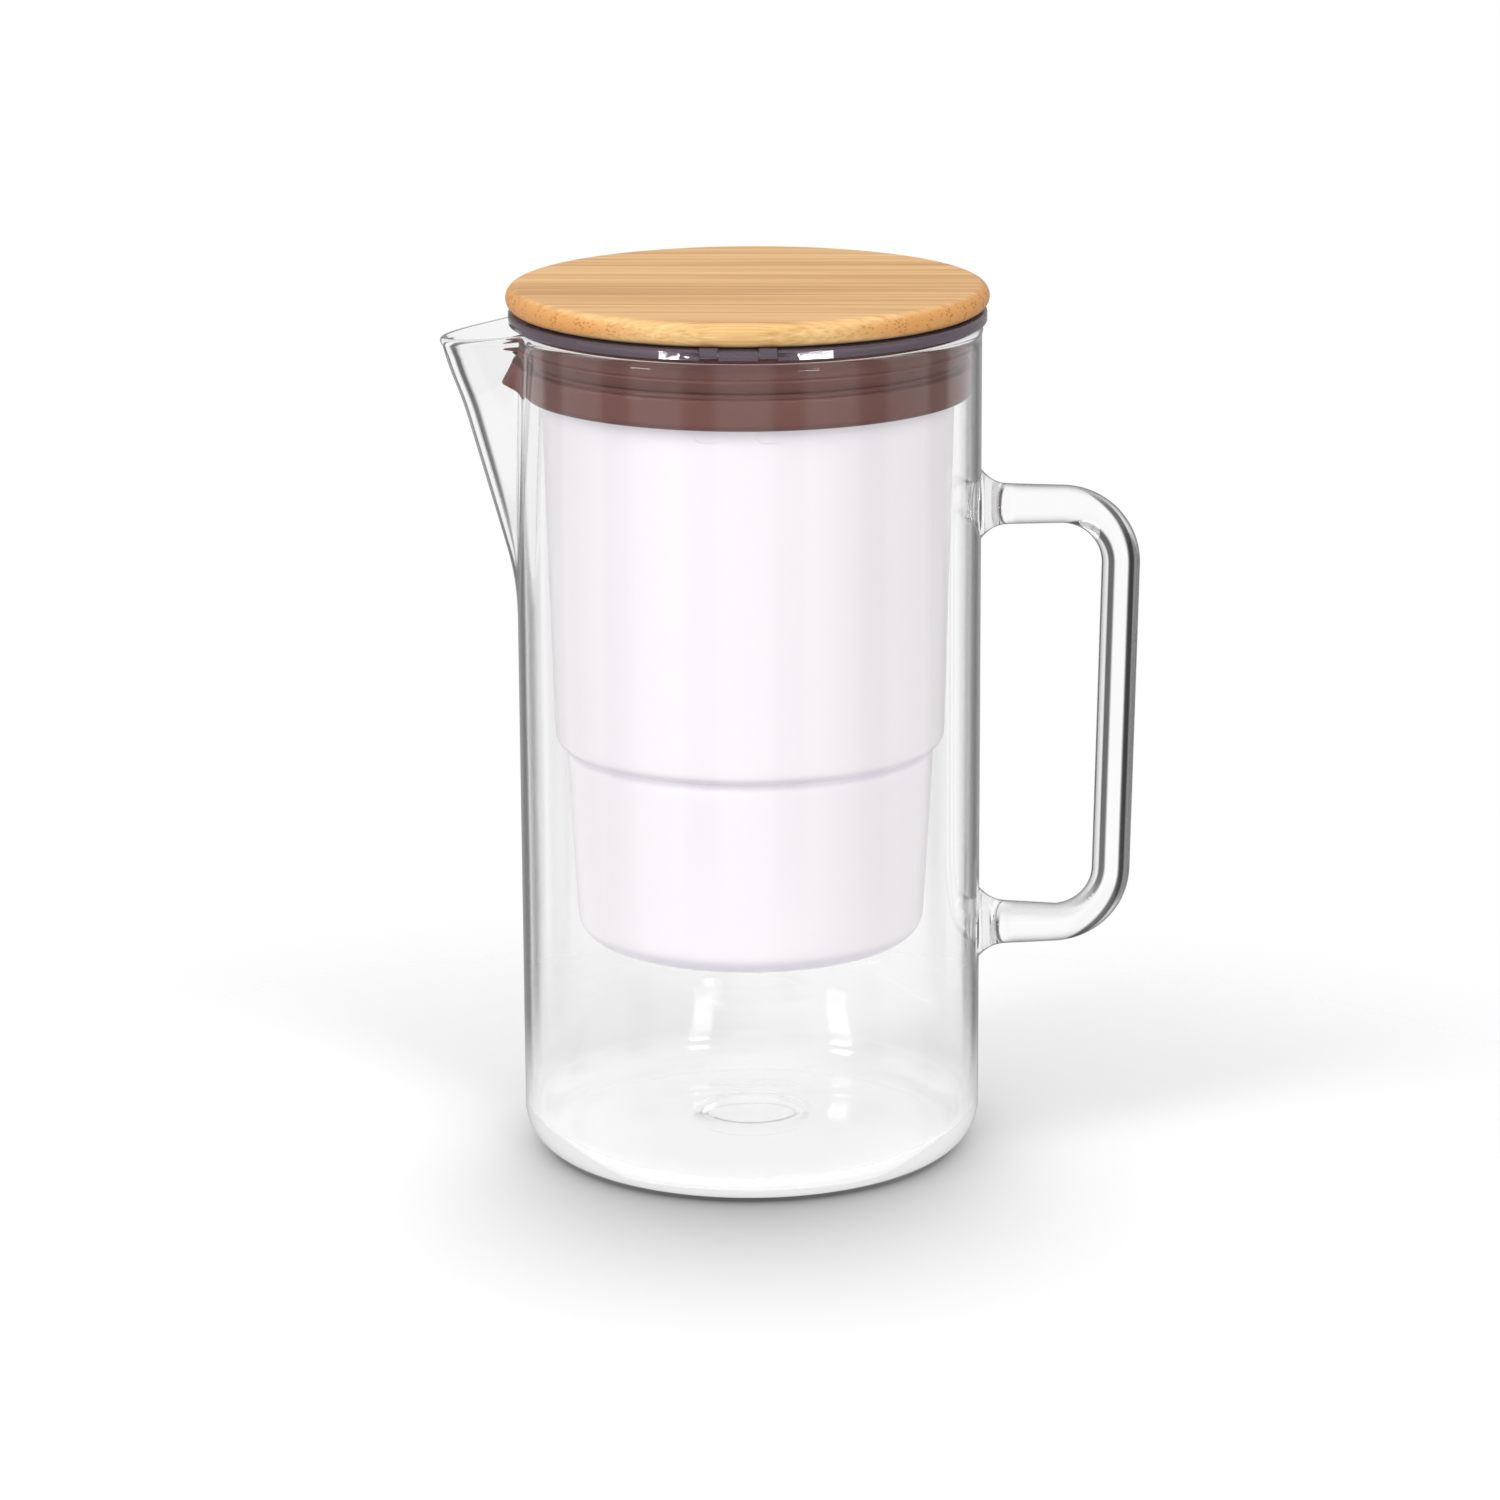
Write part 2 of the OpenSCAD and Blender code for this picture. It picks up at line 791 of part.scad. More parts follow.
// Grille that plugs the outlet, with slots right through it.
module outlet_grille() {
    bar = 2;
    pitch = 4;
    rim = 4;
    lift = 0.2;
    plug_top_z = cart_z + cart_wall;
    count = floor((outlet_r - rim) / pitch);
    color(white_plastic)
        difference() {
            union() {
                translate([0, 0, grille_z + lift])
                    cylinder(r = outlet_r - outlet_seat - snug, h = plug_top_z - grille_z - lift);
                translate([0, 0, grille_z + lift])
                    cylinder(r = outlet_r - clear, h = tank_wall - lift);
            }
            for (i = [-count : count]) {
                half = sqrt(pow(outlet_r - rim, 2) - pow(i * pitch, 2));
                translate([i * pitch - (pitch - bar) / 2, -half, grille_z - over])
                    cube([pitch - bar, 2 * half, plug_top_z - grille_z + 2 * over]);
            }
        }
}

module cartridge_cap() {
    slot_w = 1.6;
    slot_in = 12;
    slot_out = cart_in_top_r - slot_w;
    edge = 1.5;
    lip = 0.6;
    skirt = 0.9;
    crown_in = 5;
    color(white_plastic)
        difference() {
            rotate_extrude()
                polygon([
                    [0, loop_z - cap_t],
                    [cart_in_top_r - crown_in - 1, loop_z - cap_t],
                    [cart_in_top_r - cap_t - snug, cart_top_z + edge],
                    [cart_in_top_r - cap_t - snug, cart_top_z - skirt],
                    [cart_in_top_r - snug, cart_top_z - skirt],
                    [cart_in_top_r - snug, cart_top_z],
                    [cart_top_r + lip, cart_top_z],
                    [cart_top_r + lip, cart_top_z + edge],
                    [cart_in_top_r - crown_in, loop_z],
                    [0, loop_z]
                ]);
            for (i = [0 : cap_slots - 1])
                rotate([0, 0, 360 * (i + 0.5) / cap_slots])
                    translate([slot_in, -slot_w / 2, cart_top_z + edge + lip])
                        cube([slot_out - slot_in, slot_w, cap_h]);
        }
}

// Arched loop for a finger, standing on the cap.
module cartridge_loop() {
    outer = loop_w / 2 + loop_t;
    color(white_plastic)
        translate([0, loop_t, loop_z])
            rotate([90, 0, 0])
                linear_extrude(height = 2 * loop_t)
                    difference() {
                        translate([-outer, 0])
                            square([2 * outer, loop_h + loop_t]);
                        translate([-loop_w / 2, -over])
                            square([loop_w, loop_h + over]);
                    }
}

glass_jug();
glass_handle();
funnel_shell();
silicone_gasket();
lid_ring();
lid_seal();
hinge_pin();
lid_plate();
bamboo_disc();
lid_screws();
cartridge_body();
cartridge_cap();
cartridge_loop();
cartridge_seal();
inlet_mesh();
carbon_bed();
felt_divider();
resin_bed();
outlet_felt();
outlet_grille();
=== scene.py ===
# %% [markdown]
# # A glass water filter pitcher with a bamboo flip lid
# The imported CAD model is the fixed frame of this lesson: every piece below sits where it says. What CAD can't
# give is the look: blown glass, soft silicone, frosted plastic, smoke-tinted plastic and laminated bamboo.
# All lengths in the code are millimetres until a mesh is made, because the real object was measured in them.

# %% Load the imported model
import bpy
import math
import numpy as np
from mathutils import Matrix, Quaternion, Vector


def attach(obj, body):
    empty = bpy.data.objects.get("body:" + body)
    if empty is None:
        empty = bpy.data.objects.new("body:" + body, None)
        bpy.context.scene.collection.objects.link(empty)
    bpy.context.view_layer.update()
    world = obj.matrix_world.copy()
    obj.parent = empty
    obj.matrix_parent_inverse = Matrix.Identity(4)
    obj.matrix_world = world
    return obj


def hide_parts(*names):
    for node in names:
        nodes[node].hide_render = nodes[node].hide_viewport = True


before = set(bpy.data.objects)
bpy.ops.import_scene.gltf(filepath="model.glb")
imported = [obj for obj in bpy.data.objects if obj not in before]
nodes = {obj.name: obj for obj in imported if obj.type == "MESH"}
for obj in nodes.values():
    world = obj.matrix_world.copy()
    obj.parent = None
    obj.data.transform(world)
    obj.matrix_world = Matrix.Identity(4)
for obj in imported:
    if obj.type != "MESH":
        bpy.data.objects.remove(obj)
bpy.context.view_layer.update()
MM = 0.001

# %% [markdown]
# ## Turning a grid of points into a skin
# Nearly every piece is a surface with two parameters: rows follow a section, columns go round. One helper
# turns such a grid into a closed mesh. It measures the enclosed volume, and where that comes out negative
# the faces look inwards and are all turned over at once.

# %% Grid to mesh


def quad_faces(rows, cols, wrap_rows, wrap_cols, first=0):
    """Faces of a grid: each quad joins a point to its next column and row. Wrapping joins last to first."""
    r = np.arange(rows if wrap_rows else rows - 1)
    c = np.arange(cols if wrap_cols else cols - 1)
    r, c = np.meshgrid(r, c, indexing="ij")
    r2, c2 = (r + 1) % rows, (c + 1) % cols
    quads = np.stack([r * cols + c, r * cols + c2, r2 * cols + c2, r2 * cols + c], axis=-1)
    return (first + quads).reshape(-1, 4)


def signed_volume(points, triangles):
    """Sum over the triangles of the box product of their corners, divided by six."""
    a, b, c = points[triangles[:, 0]], points[triangles[:, 1]], points[triangles[:, 2]]
    return float(np.einsum("ij,ij->i", a, np.cross(b, c)).sum() / 6)


def skin(name, grid, wrap_rows=False, wrap_cols=True, poles=(), sharp=None):
    """Mesh object from a grid of points in mm; poles are the end points that close a shell on its axis."""
    rows, cols = grid.shape[:2]
    points = grid.reshape(-1, 3)
    quads = quad_faces(rows, cols, wrap_rows, wrap_cols)
    triangles = np.vstack([quads[:, [0, 1, 2]], quads[:, [0, 2, 3]]])
    fans = []
    for end, pole in enumerate(poles):
        ring = np.arange(cols) + (rows - 1) * cols * end
        tip = np.full(cols, len(points))
        points = np.vstack([points, np.asarray(pole, float)[None]])
        fan = np.stack([tip, np.roll(ring, -1), ring], axis=-1)
        fans.append(fan if end == 0 else fan[:, ::-1])
    fans = np.vstack(fans) if fans else np.zeros((0, 3), int)
    inside_out = signed_volume(points, np.vstack([triangles, fans])) < 0
    if inside_out:
        quads, fans = quads[:, ::-1], fans[:, ::-1]
    mesh = bpy.data.meshes.new(name)
    mesh.from_pydata((points * MM).tolist(), [], quads.tolist() + fans.tolist())
    mesh.polygons.foreach_set("use_smooth", np.ones(len(mesh.polygons), bool))
    if sharp is not None:
        mesh.set_sharp_from_angle(angle=math.radians(sharp))
    mesh.update()
    piece = bpy.data.objects.new(name, mesh)
    bpy.context.scene.collection.objects.link(piece)
    print(name, "points:", len(points), "faces:", len(mesh.polygons))
    return piece


def smooth_step(x):
    """0 below 0, 1 above 1, and 3x squared minus 2x cubed between."""
    x = np.clip(x, 0.0, 1.0)
    return x * x * (3 - 2 * x)


def crowded(count, centres, extra, width):
    """Angles round a full turn, closer together near the given centres, where something small is drawn."""
    a = np.linspace(-math.pi, math.pi, 4001)
    weight = np.ones_like(a)
    for centre in centres:
        away = np.angle(np.exp(1j * (a - centre)))
        weight += extra * np.exp(-((away / width) ** 2))
    total = np.concatenate([[0], np.cumsum((weight[1:] + weight[:-1]) / 2)])
    return np.interp(np.arange(count) / count * total[-1], total, a)


def arc(cx, cz, r, start, stop, count):
    """Points of a circle of radius r about a centre in the section, from one angle to another in degrees."""
    a = np.radians(np.linspace(start, stop, count))
    return np.stack([cx + r * np.cos(a), cz + r * np.sin(a)], axis=-1)


def line(a, b, count):
    """Evenly spaced points from a to b, the last one left out."""
    t = np.linspace(0, 1, count, endpoint=False)[:, None]
    return np.asarray(a, float) * (1 - t) + np.asarray(b, float) * t


def round_grid(section, turns):
    """Angle, radius and height at every point of a section that is carried round the axis."""
    turn, rho = np.meshgrid(turns, section[:, 0])
    return turn, rho, np.broadcast_to(section[:, 1][:, None], turn.shape)


# %% [markdown]
# ## The glass jug
# The real jug is one blown piece: a tube with a closed bottom, a fire-polished rim bead and a spout that was
# pulled out of the soft wall with a tool. So the spout isn't a separate part here either. The wall is pushed
# outwards over a narrow angle, more and more towards the rim, and the wall's thickness is measured along the
# pushed surface's own normal so that it stays even. The glass is shown as one closed shell, inside and out,
# since light has to bend at both faces.

# %% Spout shape
JUG_R, WALL, CORNER_R, FLOOR = 62.5, 2.3, 11.0, 4.0
IN_R, CORNER_X = JUG_R - WALL, JUG_R - CORNER_R
BEAD_R, BEAD_Z = 1.30, 226.3
BEAD_X = JUG_R - WALL + BEAD_R
SPOUT_PUSH, SPOUT_START, SPOUT_RISE, SPOUT_HALF, SPOUT_SOFT = 19.6, 157.0, 69.8, math.radians(21.5), 0.14
DIP, DIP_HALF, DIP_START, DIP_RISE = 3.6, math.radians(20), 203, 20


def spout_push(turn, z):
    """Push of the wall: grows steadily with height after a soft start, times the square of one minus the
    squared angle over a half width that itself widens towards the rim."""
    t = (z - SPOUT_START) / SPOUT_RISE
    share = np.where(t < SPOUT_SOFT, np.clip(t + SPOUT_SOFT, 0, None) ** 2 / (4 * SPOUT_SOFT), t)
    half = SPOUT_HALF * np.sqrt(0.25 + 0.75 * np.clip(t, 0, None))
    return SPOUT_PUSH * share * np.clip(1 - (turn / half) ** 2, 0, None) ** 2


def on_jug(turn, rho, z):
    """Point of the jug at an angle from the spout's middle: the pushed wall plus its plan normal times the
    distance of the section's point from the plain wall. The rim dips towards the lip of the spout."""
    step = 1e-4
    r = JUG_R + spout_push(turn, z)
    slope = (spout_push(turn + step, z) - spout_push(turn - step, z)) / (2 * step)
    along, across = -np.cos(turn), -np.sin(turn)
    size = np.hypot(r, slope)
    nx = (r * along - slope * np.sin(turn)) / size
    ny = (r * across + slope * np.cos(turn)) / size
    off = rho - JUG_R
    dip = DIP * np.clip(1 - (turn / DIP_HALF) ** 2, 0, None) ** 1.3 * smooth_step((z - DIP_START) / DIP_RISE)
    return np.stack([r * along + nx * off, r * across + ny * off, z - dip], axis=-1)


DOME_R, DOME_H, MARK_R, MARK_H = 46.0, 3.8, 14.5, 1.2
FIRST_R, MID_Z, OUT_TOP, IN_TOP = 1.5, 146, 224.6, 224.8


def dome(r):
    """Rise of the pushed-up bottom: a soft hump over its whole radius, with a small cap in its middle where
    the glass was cut from the blowpipe."""
    return DOME_H * (1 - (r / DOME_R) ** 2) ** 2 + MARK_H * np.sqrt(np.clip(1 - (r / MARK_R) ** 2, 0, 1))


def jug_section():
    """Half section of the glass from the centre underneath, up the outside, over the bead and down inside."""
    under, above = np.linspace(FIRST_R, DOME_R, 30), np.linspace(DOME_R, FIRST_R, 30)
    bead_start = -math.degrees(math.acos((JUG_R - BEAD_X) / BEAD_R))
    inner = CORNER_R - WALL
    return np.vstack([
        np.stack([under, dome(under)], -1),
        line((DOME_R + 0.5, 0), (CORNER_X, 0), 3),
        arc(CORNER_X, CORNER_R, CORNER_R, -90, 0, 15),
        line((JUG_R, 18), (JUG_R, MID_Z), 8),
        line((JUG_R, MID_Z), (JUG_R, OUT_TOP), 44),
        arc(BEAD_X, BEAD_Z, BEAD_R, bead_start, 180, 18),
        line((IN_R, IN_TOP), (IN_R, MID_Z), 44),
        line((IN_R, MID_Z), (IN_R, 20), 8),
        arc(CORNER_X, FLOOR + inner, inner, 0, -90, 13),
        line((CORNER_X - 1, FLOOR), (DOME_R + 1, FLOOR), 3),
        np.stack([above, FLOOR + dome(above)], -1),
    ])


grid = on_jug(*round_grid(jug_section(), crowded(336, [0.0], 2.6, math.radians(17))))
jug = skin("jug_blank", grid, poles=[(0, 0, dome(0.0)), (0, 0, FLOOR + dome(0.0))])

# %% [markdown]
# ## The glass handle
# The handle is a solid glass rod, bent hot and pressed against the wall at both ends, where the soft glass
# spreads into a flared foot. A circle carried along the rod's centre line makes it, with a radius that grows
# towards each foot. Its ends stop inside the wall, and a union melts the two shells into one, so that no
# hidden face is left between them to bend the light a second time.

# %% Handle rod
TOP_Z, LOW_Z, REACH, BEND_R, ROD_R, LEAN = 178.6, 61.8, 100.1, 16.0, 5.15, math.radians(1.2)
FOOT_X, FOOT_R, FOOT_L, FLARE_X = 60.8, 10.6, 8.5, 61.6
SWELL_TOP, SWELL_LOW, SWELL_END, SWELL_L = 0.55, 1.15, 84.0, 22.0


def handle_path():
    """Centre line in the plane of the spout: out from the wall, round a quarter turn, down a grip that leans
    a little inwards, round again and back to the wall."""
    top = np.array([REACH - BEND_R, TOP_Z - BEND_R])
    low_z = LOW_Z + BEND_R
    low = np.array([top[0] - (top[1] - low_z) * math.tan(LEAN), low_z])
    lean = math.degrees(LEAN)
    start, end = arc(*top, BEND_R, -lean, -lean, 1)[0], arc(*low, BEND_R, -lean, -lean, 1)[0]
    near = np.linspace(0, 1, 26, endpoint=False)[:, None] ** 1.5
    out = np.array([FOOT_X, TOP_Z]) * (1 - near) + np.array([top[0], TOP_Z]) * near
    back = np.array([FOOT_X, LOW_Z]) * (1 - near) + np.array([low[0], LOW_Z]) * near
    return np.vstack([out, arc(*top, BEND_R, 90, -lean, 26)[:-1], line(start, end, 24),
                      arc(*low, BEND_R, -lean, -90, 26), back[::-1]])


def handle_radius(path):
    """Rod radius, plus the arm's swell along the straight arms, plus the foot's flare, which falls from full
    to nothing as a power of the distance from the wall."""
    x, z = path[:, 0], path[:, 1]
    upper = z > (TOP_Z + LOW_Z) / 2
    arm = np.where(upper, SWELL_TOP, SWELL_LOW) * np.clip((SWELL_END - x) / SWELL_L, 0, 1)
    flare = np.clip(1 - (x - FLARE_X) / FOOT_L, 0, 1) ** 2.6
    return ROD_R + arm + (FOOT_R - ROD_R - arm) * np.minimum(flare, 1)


def sweep(path, radius, sides):
    """Circle of the given radius carried along a path in the plane of X and Z, square to the path."""
    tangent = np.gradient(path, axis=0)
    tangent /= np.linalg.norm(tangent, axis=1)[:, None]
    normal = np.stack([-tangent[:, 1], tangent[:, 0]], -1)
    a = np.linspace(0, 2 * math.pi, sides, endpoint=False)
    x = path[:, 0, None] + radius[:, None] * np.cos(a) * normal[:, 0, None]
    z = path[:, 1, None] + radius[:, None] * np.cos(a) * normal[:, 1, None]
    y = np.broadcast_to(radius[:, None] * np.sin(a), x.shape)
    return np.stack([x, y, z], axis=-1)


path = handle_path()
handle = skin("handle_blank", sweep(path, handle_radius(path), 44),
              poles=[(FOOT_X, 0, TOP_Z), (FOOT_X, 0, LOW_Z)])

# %% [markdown]
# ## One piece of glass
# The handle is drawn onto the hot jug, so the two are one piece of glass with no wall between them. A union
# of the two skins gives that.

# %% Melt the handle into the wall


def melted(name, base, added):
    """One mesh from two closed shells, with the faces between them gone; the two blanks are thrown away."""
    cut = base.modifiers.new("melt", "BOOLEAN")
    cut.operation, cut.object, cut.solver = "UNION", added, "MANIFOLD"
    depsgraph = bpy.context.evaluated_depsgraph_get()
    mesh = bpy.data.meshes.new_from_object(base.evaluated_get(depsgraph))
    mesh.name = name
    mesh.materials.clear()
    mesh.polygons.foreach_set("material_index", np.zeros(len(mesh.polygons), int))
    mesh.polygons.foreach_set("use_smooth", np.ones(len(mesh.polygons), bool))
    for blank in (base, added):
        bpy.data.objects.remove(blank)
    piece = bpy.data.objects.new(name, mesh)
    bpy.context.scene.collection.objects.link(piece)
    return piece


jug_glass = melted("jug_glass", jug, handle)
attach(jug_glass, "jug")
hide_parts("glass_jug", "glass_handle")
print("glass faces:", len(jug_glass.data.polygons))

# %% [markdown]
# ## The silicone gasket
# A soft ring grips the reservoir and presses outwards against the glass with a skirt and a lip. Three thin
# tongues, one above the other, reach into the spout to hold it back from the stream. It is moulded, so every
# corner is slightly rounded. A section is carried round the axis, and the tongues are a push outwards near
# the spout.

# %% Gasket
GASKET_R, GASKET_IN, TONGUE_HALF = 59.9, 55.9, math.radians(14)


def rounded(corners, radius, count=5):
    """Closed section whose corners are replaced by short curves: each blends its two edge points through
    the corner with weights of one minus t squared, twice t times one minus t, and t squared."""
    p = np.asarray(corners, float)
    before, after = np.roll(p, 1, axis=0), np.roll(p, -1, axis=0)

    def towards(q):
        d = q - p
        length = np.linalg.norm(d, axis=1)[:, None]
        return p + d / length * np.minimum(radius, length * 0.45)

    a, b = towards(before), towards(after)
    t = np.linspace(0, 1, count)[None, :, None]
    curve = a[:, None] * (1 - t) ** 2 + 2 * p[:, None] * t * (1 - t) + b[:, None] * t ** 2
    return curve.reshape(-1, 2)


def finer(section, longest):
    """Closed section with its long edges cut into equal pieces."""
    out = []
    for a, b in zip(section, np.roll(section, -1, axis=0)):
        out.append(line(a, b, max(1, int(np.ceil(np.linalg.norm(b - a) / longest)))))
    return np.vstack(out)


gasket_section = finer(rounded([  # skirt, thin crease, band, lip, neck and the cap over the reservoir's rim
    (GASKET_IN, 210.3), (56.9, 209.5), (58.9, 209.7), (GASKET_R, 211.0), (GASKET_R, 217.3),
    (59.6, 217.9), (57.4, 218.0), (57.4, 219.1), (58.2, 219.4), (59.6, 221.9), (GASKET_R, 222.4),
    (59.7, 223.0), (58.5, 223.3), (58.5, 226.6), (58.9, 226.9), (58.9, 228.7), (54.1, 228.7), (54.1, 227.5),
    (GASKET_IN, 227.5)], 0.3), 0.5)

BEAK = np.array([  # height and reach of the tongues
    (209.7, 0.0), (211.7, 5.4), (212.3, 5.3), (217.0, 2.4), (218.0, 2.2), (219.2, 2.4), (220.8, 3.2),
    (221.3, 1.2), (221.8, 1.2), (222.3, 5.2), (222.9, 5.0), (223.4, 0.8), (226.0, 0.0)])


def on_gasket(turn, rho, z):
    """Revolved section plus the tongues: a push on the outer face, full at the middle of the spout and
    falling with the square of one minus the squared angle. Its reach by height comes from BEAK: a drooping
    beak at the skirt, a nose on the band and a thin wedge on the lip."""
    lobe = np.clip(1 - (turn / TONGUE_HALF) ** 2, 0, None) ** 2
    on_outside = smooth_step((rho - 57.5) / 0.8)
    r = rho + lobe * on_outside * np.interp(z, BEAK[:, 0], BEAK[:, 1])
    return np.stack([-r * np.cos(turn), -r * np.sin(turn), z], axis=-1)


grid = on_gasket(*round_grid(gasket_section, crowded(300, [0.0], 3.0, TONGUE_HALF)))
gasket = skin("gasket", grid, wrap_rows=True, sharp=50)
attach(gasket, "funnel")
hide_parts("silicone_gasket")

# %% [markdown]
# ## The reservoir
# The inner cup is injection moulded: a tall tapered wall, a round shoulder, a narrower foot that the filter
# cartridge stands in, and an outlet hole. Its wall is thin, so both faces are modelled. Two shallow pads on
# the front, whose lower corners peep out below the gasket, are raised by half a millimetre.

# %% Reservoir
PAD_CENTRES, PAD_HALF, PAD_LOW, PAD_ROUND, PAD_H = (-5.6, 10.3), 6.2, 205.9, 2.0, 0.45
OUTER_SKIN_R, SWELL_Z = 54.6, 208.5
reservoir_section = finer(np.vstack([
    [(19.0, 59.5)],
    arc(40.3, 66.5, 7.0, -90, -3.6, 12),
    [(49.9, 112.6), (49.6, 113.5)],
    arc(49.3, 117.0, 3.5, -86, -1.5, 11),
    [(55.2, 207.5), (55.8, 209.2), (55.8, 227.2), (55.6, 227.4), (54.2, 227.4), (54.0, 227.2),
     (54.0, 209.2), (53.4, 207.5)],
    arc(49.8, 117.0, 1.2, -1.5, -80, 5),
    [(48.5, 115.2)],
    arc(40.3, 66.5, 5.2, -3.6, -90, 9),
    [(27.8, 61.3), (27.8, 71.1), (27.5, 71.3), (26.6, 71.3), (26.3, 71.1), (26.3, 61.3), (19.0, 61.3)]]), 3.0)
print("reservoir section points:", len(reservoir_section))


def pad_height(x, z):
    """1 on a pad and 0 off it: the distance to a box with round corners, turned into a soft edge. To the
    right each pad sinks back into the wall."""
    high = np.zeros_like(x)
    for centre in PAD_CENTRES:
        dx = np.abs(x - centre) - (PAD_HALF - PAD_ROUND)
        dz = (PAD_LOW + PAD_ROUND) - z
        away = np.hypot(np.clip(dx, 0, None), np.clip(dz, 0, None)) - PAD_ROUND
        fades = 1 - smooth_step((x - centre + PAD_HALF - 3) / 5)
        high = np.maximum(high, fades * smooth_step(0.5 - away / 0.35))
    return high


def with_rows(section, low, high, step):
    """Section with extra points on the outer wall between two heights, for the pads' lower edges."""
    extra_z = np.arange(low, high, step)
    outer = [i for i in range(len(section) - 1)
             if section[i, 0] > 54 and section[i, 1] < high and section[i + 1, 1] > low
             and section[i + 1, 1] > section[i, 1]]
    keep = [p for p in section if not (p[0] > OUTER_SKIN_R and low <= p[1] <= high)]
    radius = np.interp(extra_z, section[[outer[0], outer[-1] + 1], 1], section[[outer[0], outer[-1] + 1], 0])
    at = next(i for i, p in enumerate(keep) if p[0] > 54.5 and p[1] > high)
    return np.vstack([keep[:at], np.stack([radius, extra_z], -1), keep[at:]])


reservoir_section = with_rows(reservoir_section, 203.5, 207.4, 0.13)
TURN, RHO, Z = round_grid(reservoir_section, crowded(400, [-math.pi / 2], 5.0, math.radians(15)))
front = (np.sin(TURN) < 0) & (RHO > OUTER_SKIN_R) & (Z < SWELL_Z)
raised = np.where(front, PAD_H * pad_height(RHO * np.cos(TURN), Z), 0)
reservoir = skin("reservoir", np.stack([(RHO + raised) * np.cos(TURN), (RHO + raised) * np.sin(TURN), Z], -1),
                 wrap_rows=True, sharp=40)
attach(reservoir, "funnel")
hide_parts("funnel_shell")

# %% [markdown]
# ## The bamboo lid
# A turned disc of laminated bamboo with a full round edge, recessed underneath for the tinted plate. It is a
# revolved section again. Its finish, further down, tells face grain from end grain by the surface normal.

# %% Bamboo disc
BAMBOO_Z, BAMBOO_T, BAMBOO_R, RECESS_R, RECESS_Z = 232.0, 6.4, 64.45, 60.6, 232.9
EDGE_R = BAMBOO_T / 2
bamboo_section = np.vstack([
    np.stack([np.linspace(2, 60, 14), np.full(14, BAMBOO_Z + BAMBOO_T)], -1),
    arc(BAMBOO_R - EDGE_R, BAMBOO_Z + EDGE_R, EDGE_R, 90, -90, 28),
    [(RECESS_R + 0.15, BAMBOO_Z), (RECESS_R, BAMBOO_Z + 0.15), (RECESS_R, RECESS_Z)],
    np.stack([np.linspace(59, 2, 12), np.full(12, RECESS_Z)], -1)])
TURN, RHO, Z = round_grid(bamboo_section, np.linspace(-math.pi, math.pi, 256, endpoint=False))
bamboo = skin("bamboo_lid", np.stack([RHO * np.cos(TURN), RHO * np.sin(TURN), Z], -1),
              poles=[(0, 0, BAMBOO_Z + BAMBOO_T), (0, 0, RECESS_Z)], sharp=50)
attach(bamboo, "flip_lid")
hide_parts("bamboo_disc")

# %% [markdown]
# ## Materials: small helpers
# A material is a graph of nodes. These helpers keep the graphs short: one places a node and fills its inputs,
# one starts a material with the Principled shader, and the rest are the steps that most finishes need.

# %% Node helpers


def feed(tree, node, values):
    """Fills a node's inputs by name or number: a plain value is set, another node's output is linked."""
    for key, value in values.items():
        if isinstance(value, bpy.types.NodeSocket):
            tree.links.new(value, node.inputs[key])
        else:
            node.inputs[key].default_value = value


def place(tree, kind, values=None, **settings):
    """Adds a node, sets its plain settings, then fills its inputs."""
    node = tree.nodes.new(kind)
    for key, value in settings.items():
        setattr(node, key, value)
    feed(tree, node, values or {})
    return node


def sums(tree):
    """A short way to place Math nodes in one tree: an operation and up to three numbers or outputs."""
    def number(operation, *terms):
        return place(tree, "ShaderNodeMath", dict(enumerate(terms)), operation=operation).outputs[0]
    return number


def ranged(tree, value, low, high, to_low=0.0, to_high=1.0, soft=False):
    """Carries a value from one range to another, held at the ends; soft eases in and out."""
    return place(tree, "ShaderNodeMapRange", {"Value": value, "From Min": low, "From Max": high,
                                              "To Min": to_low, "To Max": to_high},
                 interpolation_type="SMOOTHSTEP" if soft else "LINEAR").outputs["Result"]


def blend(tree, share, a, b):
    """Colour a where the share is 0, colour b where it is 1."""
    return place(tree, "ShaderNodeMix", {"Factor": share, "A": a, "B": b}, data_type="RGBA").outputs["Result"]


def bump_of(tree, height, strength, distance, invert=False):
    """Normal that is tilted by a height pattern."""
    return place(tree, "ShaderNodeBump", {"Height": height, "Strength": strength, "Distance": distance},
                 invert=invert).outputs["Normal"]


def split_xyz(tree, vector):
    """The three parts of a vector."""
    return place(tree, "ShaderNodeSeparateXYZ", {"Vector": vector}).outputs


def coordinates(tree, scale=(1, 1, 1), shift=(0, 0, 0)):
    """Object coordinates through a Mapping node that stretches and shifts them."""
    where = place(tree, "ShaderNodeTexCoord").outputs["Object"]
    return place(tree, "ShaderNodeMapping", {"Vector": where, "Scale": scale,
                                             "Location": shift}).outputs["Vector"]


def finish_of(name, values):
    """A new material with a Principled shader whose constant values are set on its own sockets."""
    material = bpy.data.materials.new(name)
    material.use_nodes = True
    tree = material.node_tree
    tree.nodes.clear()
    shader = place(tree, "ShaderNodeBsdfPrincipled", values)
    place(tree, "ShaderNodeOutputMaterial", {"Surface": shader.outputs["BSDF"]})
    return material, tree, shader


# %% [markdown]
# ## Effects that several finishes share
# A slow drift of tone and a fine surface texture are node groups with named sockets. A finish of the common
# kind puts them on its colour, its roughness and its bump, so that no face is one flat tone.

# %% Shared effects
VEC, COL, NUM = "NodeSocketVector", "NodeSocketColor", "NodeSocketFloat"


